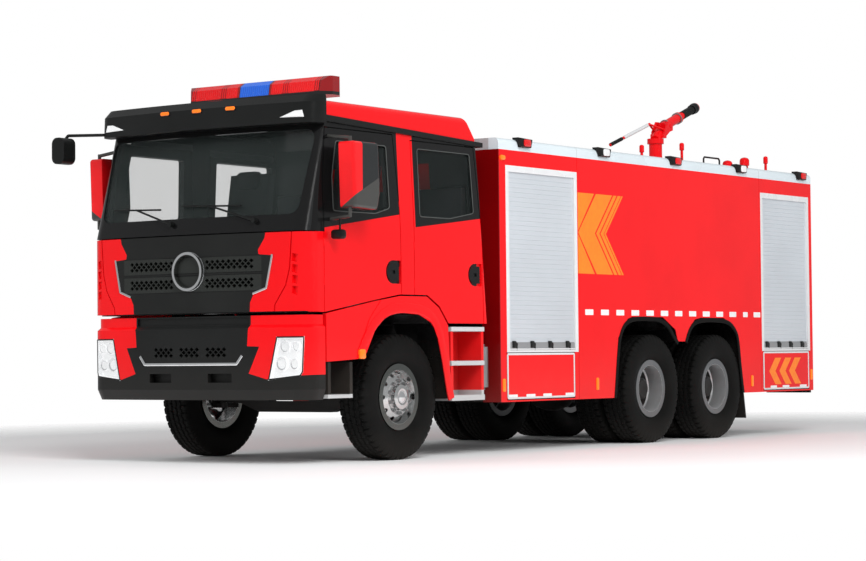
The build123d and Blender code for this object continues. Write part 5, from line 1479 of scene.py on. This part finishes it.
# %% [markdown]
# The rear, which the photograph hides, has what such a body has: a lamp cluster low at each side,
# reflecting strips over it and flashing lamps at the top corners. The lamps are rounded outlines
# lifted through levels, as at the side. One more flasher sits at the body's front top corner.

# %% Rear lamps and strips
REAR_FACE = 8.090
CLUSTER = [(0.90, "amber"), (1.02, "red"), (1.14, "white")]
CLUSTER_Z = 0.86
CLUSTER_LEVELS = [(0, 0.016), (0, 0.026), (0.006, 0.032), (0.016, 0.034)]
STRIPS_X, STRIPS_Z = (0.72, 1.06), 1.02
LAMP_CASE, REAR_LENS = rounded(0.40, 0.145, 0.03, 5, (1.02, CLUSTER_Z)), (0.108, 0.108, 0.024, 5)
REAR_FLASHER, FRONT_FLASHER = (rounded(0.20, 0.075, 0.030, 6, (1.06, 2.775)),
                               rounded(0.075, 0.050, 0.022, 6, (1.560, 2.800)))
REAR_STRIP = (0.30, 0.052, 0.006, 3)


def on_rear(x, z, height):
    """A place on the body's rear face and a height out from it."""
    return x, Y(REAR_FACE + height), z


lamp_case = lifted(LAMP_CASE, soft_edges(thick=0.020, edge=0.006), on_rear)
make("rear_lamp_cases", both_sides([lamp_case]), BLACK_PLASTIC, "root")
for x, colour in CLUSTER:
    rear_lens = lifted(rounded(*REAR_LENS, (x, CLUSTER_Z)), CLUSTER_LEVELS, on_rear)
    make(f"rear_lens_{colour}", both_sides([rear_lens]), LENSES[colour], "root")
flasher = lifted(REAR_FLASHER, dome(thick=0.030, reach=0.020), on_rear)
make("rear_flashers", both_sides([flasher]), RED_LENS, "root")
strips = [lifted(rounded(*REAR_STRIP, (x, STRIPS_Z)), FILM, on_rear) for x in STRIPS_X]
make("rear_strips", both_sides(strips), WHITE_FILM, "root")
front_flasher = lifted(FRONT_FLASHER, dome(thick=0.028, reach=0.018), on_body)
make("front_flashers", both_sides([front_flasher]), AMBER, "root")

# %% [markdown]
# Each main mirror has a tall glass and a small wide-angle one below it. A glass is a thin pad with
# soft edges on the head's rear face, metal with almost no roughness. A plain glass material would
# show nothing, because there is nothing silvered behind it.

# %% Mirrors
MIRROR_X = 1.450
TALL_GLASS, TALL_LEVELS = (rounded(0.118, 0.36, 0.02, 5, (MIRROR_X, 2.545)),
                           [(0, -0.006), (0, 0.002), (0.004, 0.004)])
WIDE_GLASS, WIDE_LEVELS = (rounded(0.118, 0.10, 0.02, 5, (MIRROR_X, 2.290)),
                           [(0, -0.006), (0, 0.002), (0.006, 0.006)])
REAR_EDGE_Z, REAR_EDGE_Y = (2.190, 2.330, 2.770), (-0.800, -0.760, -0.780)


def on_mirror(x, z, height):
    """A place on the mirror head's rear side; its rear edge slants, so the place follows it."""
    return x, Y(np.interp(z, REAR_EDGE_Z, REAR_EDGE_Y) + height), z


glasses = [lifted(TALL_GLASS, TALL_LEVELS, on_mirror), lifted(WIDE_GLASS, WIDE_LEVELS, on_mirror)]
for side, turn in BODY_SIDES.items():
    make(f"mirror_glass_{side}", [turn(shape) for shape in glasses], MIRROR_FACE, f"door_front_{side}")

# %% [markdown]
# Seen through the windshield, daylight would leak in over the doors, where the real cab has rubber
# flaps. A flap hangs inside the wall over each door's top gap. It is fixed to the cab and stays
# clear of the door, so that the door can swing.

# %% Door seals
SEAL_FLAP = [(-0.004, -0.035), (0.002, -0.035), (-0.003, 0.025), (-0.008, 0.025)]
SEAL_INSIDE = 0.06
DOOR_TOPS = [(-1.00, -0.13, 2.912), (0.12, 1.08, 2.877)]


def door_seal(start, end, z):
    """A flap inside the cab over a door's top gap: its section carried straight along the wall."""
    path = [(cab_x(z) - SEAL_INSIDE, Y(y), z) for y in np.linspace(start, end, 8)]
    return carried(path, SEAL_FLAP, OUTWARD)


make("door_seals", both_sides([door_seal(*top) for top in DOOR_TOPS]), SEAL_RUBBER, "cab")

# %% [markdown]
# A small black mirror that looks down at the front wheel hangs under each main one. Its head is a
# rounded outline drawn in at the front and at the back, on a round stem, and it rides on the door.

# %% Small mirrors
DOWN_LEVELS = [(0.020, -0.036), (0.006, -0.030), (0, -0.018), (0, 0.018), (0.006, 0.030), (0.020, 0.036)]
DOWN_STEM = [(0.0, 0.0), (0.0, 0.009), (0.112, 0.009), (0.112, 0.0)]
DOWN_X, DOWN_Y = 1.345, -1.125
DOWN_HEAD = rounded(0.130, 0.082, 0.026, 5, (DOWN_X, 1.975))
STEM_BACK, STEM_Z = 0.020, 2.010
down_head = lifted(DOWN_HEAD, DOWN_LEVELS, lambda x, z, height: (x, Y(DOWN_Y + height), z))
down_stem = turned(DOWN_STEM, 14, (DOWN_X, Y(DOWN_Y + STEM_BACK), STEM_Z), UPWARD, closed=False)
for side, turn in BODY_SIDES.items():
    make(f"down_mirror_{side}", [turn(down_head), turn(down_stem)], BLACK_PLASTIC, f"door_front_{side}")

# %% [markdown]
# Headrests give the seats their outline when they are seen through the glass. Each is a soft
# block, lifted forwards from its back with its edges drawn in.

# %% Headrests
HEADREST_SIZE = (0.26, 0.17, 0.05, 6)
HEADREST_LEVELS = [(0, 0), (0, 0.05), (0.012, 0.075), (0.035, 0.085)]
HEADRESTS_X, HEADREST_Y, HEADREST_Z = (-0.62, 0.62), 0.10, 2.590


def headrest(x):
    """A soft block over a seat back."""
    return lifted(rounded(*HEADREST_SIZE, (x, HEADREST_Z)), HEADREST_LEVELS,
                  lambda u, v, height: (u, Y(HEADREST_Y - height), v))


make("headrests", [headrest(x) for x in HEADRESTS_X], CLOTH, "cab")

# %% [markdown]
# A pale floor under the wheels keeps the truck's shadow and fades out before its edge; a wall
# behind is not needed, because the world is white.

# %% Floor
FLOOR_SOLID, FLOOR_GONE = 0.75, 1.25
FLOOR_REACH = (9.0, 11.0)
FLOOR_RADII = (4.0, 12.0, 40.0, 90.0)
FLOOR_TURNS = 96
FLOOR_Z = -0.002
FLOOR_DULL, FLOOR_WHITE = (0.93, 0.93, 0.935), (0.96, 0.96, 0.96)


def floor_paint():
    """White paint that fades out: alpha falls with sqrt((x / reach)^2 + (y / reach)^2)."""
    material, nodes, shader = new_material("floor")
    at = Place(nodes)
    away = length(at.across / FLOOR_REACH[0], at.along / FLOOR_REACH[1])
    nodes.feed(shader, {"Alpha": away.spread(FLOOR_SOLID, FLOOR_GONE, 1.0, 0.0), "Roughness": 0.6,
                        "Base Color": nodes.mix(at.noise(0.6), FLOOR_DULL, FLOOR_WHITE),
                        "Specular IOR Level": 0.2})
    return material


def add_floor():
    """A large round floor: rings of radius * (cos t, sin t), the radius growing outwards."""
    angle = np.linspace(0, 2 * np.pi, FLOOR_TURNS, endpoint=False)
    circle = np.stack([np.cos(angle), np.sin(angle)], axis=-1)
    flat = np.concatenate([[[0.0, 0.0]], *(radius * circle for radius in FLOOR_RADII)])
    points = np.column_stack([flat, np.full(len(flat), FLOOR_Z)])
    first = 1 + np.arange(FLOOR_TURNS)
    after = np.roll(first, -1)
    fan = np.stack([np.zeros_like(first), first, after], -1).tolist()
    rings = FLOOR_TURNS * np.arange(len(FLOOR_RADII) - 1)[:, None]
    quads = np.stack([rings + first, rings + FLOOR_TURNS + first, rings + FLOOR_TURNS + after, rings + after],
                     -1).reshape(-1, 4).tolist()
    mesh = bpy.data.meshes.new("floor")
    mesh.from_pydata(points.tolist(), [], fan + quads)
    floor = bpy.data.objects.new("floor", mesh)
    scene.collection.objects.link(floor)
    mesh.materials.append(floor_paint())
    print("floor:", len(mesh.polygons), "faces")


add_floor()
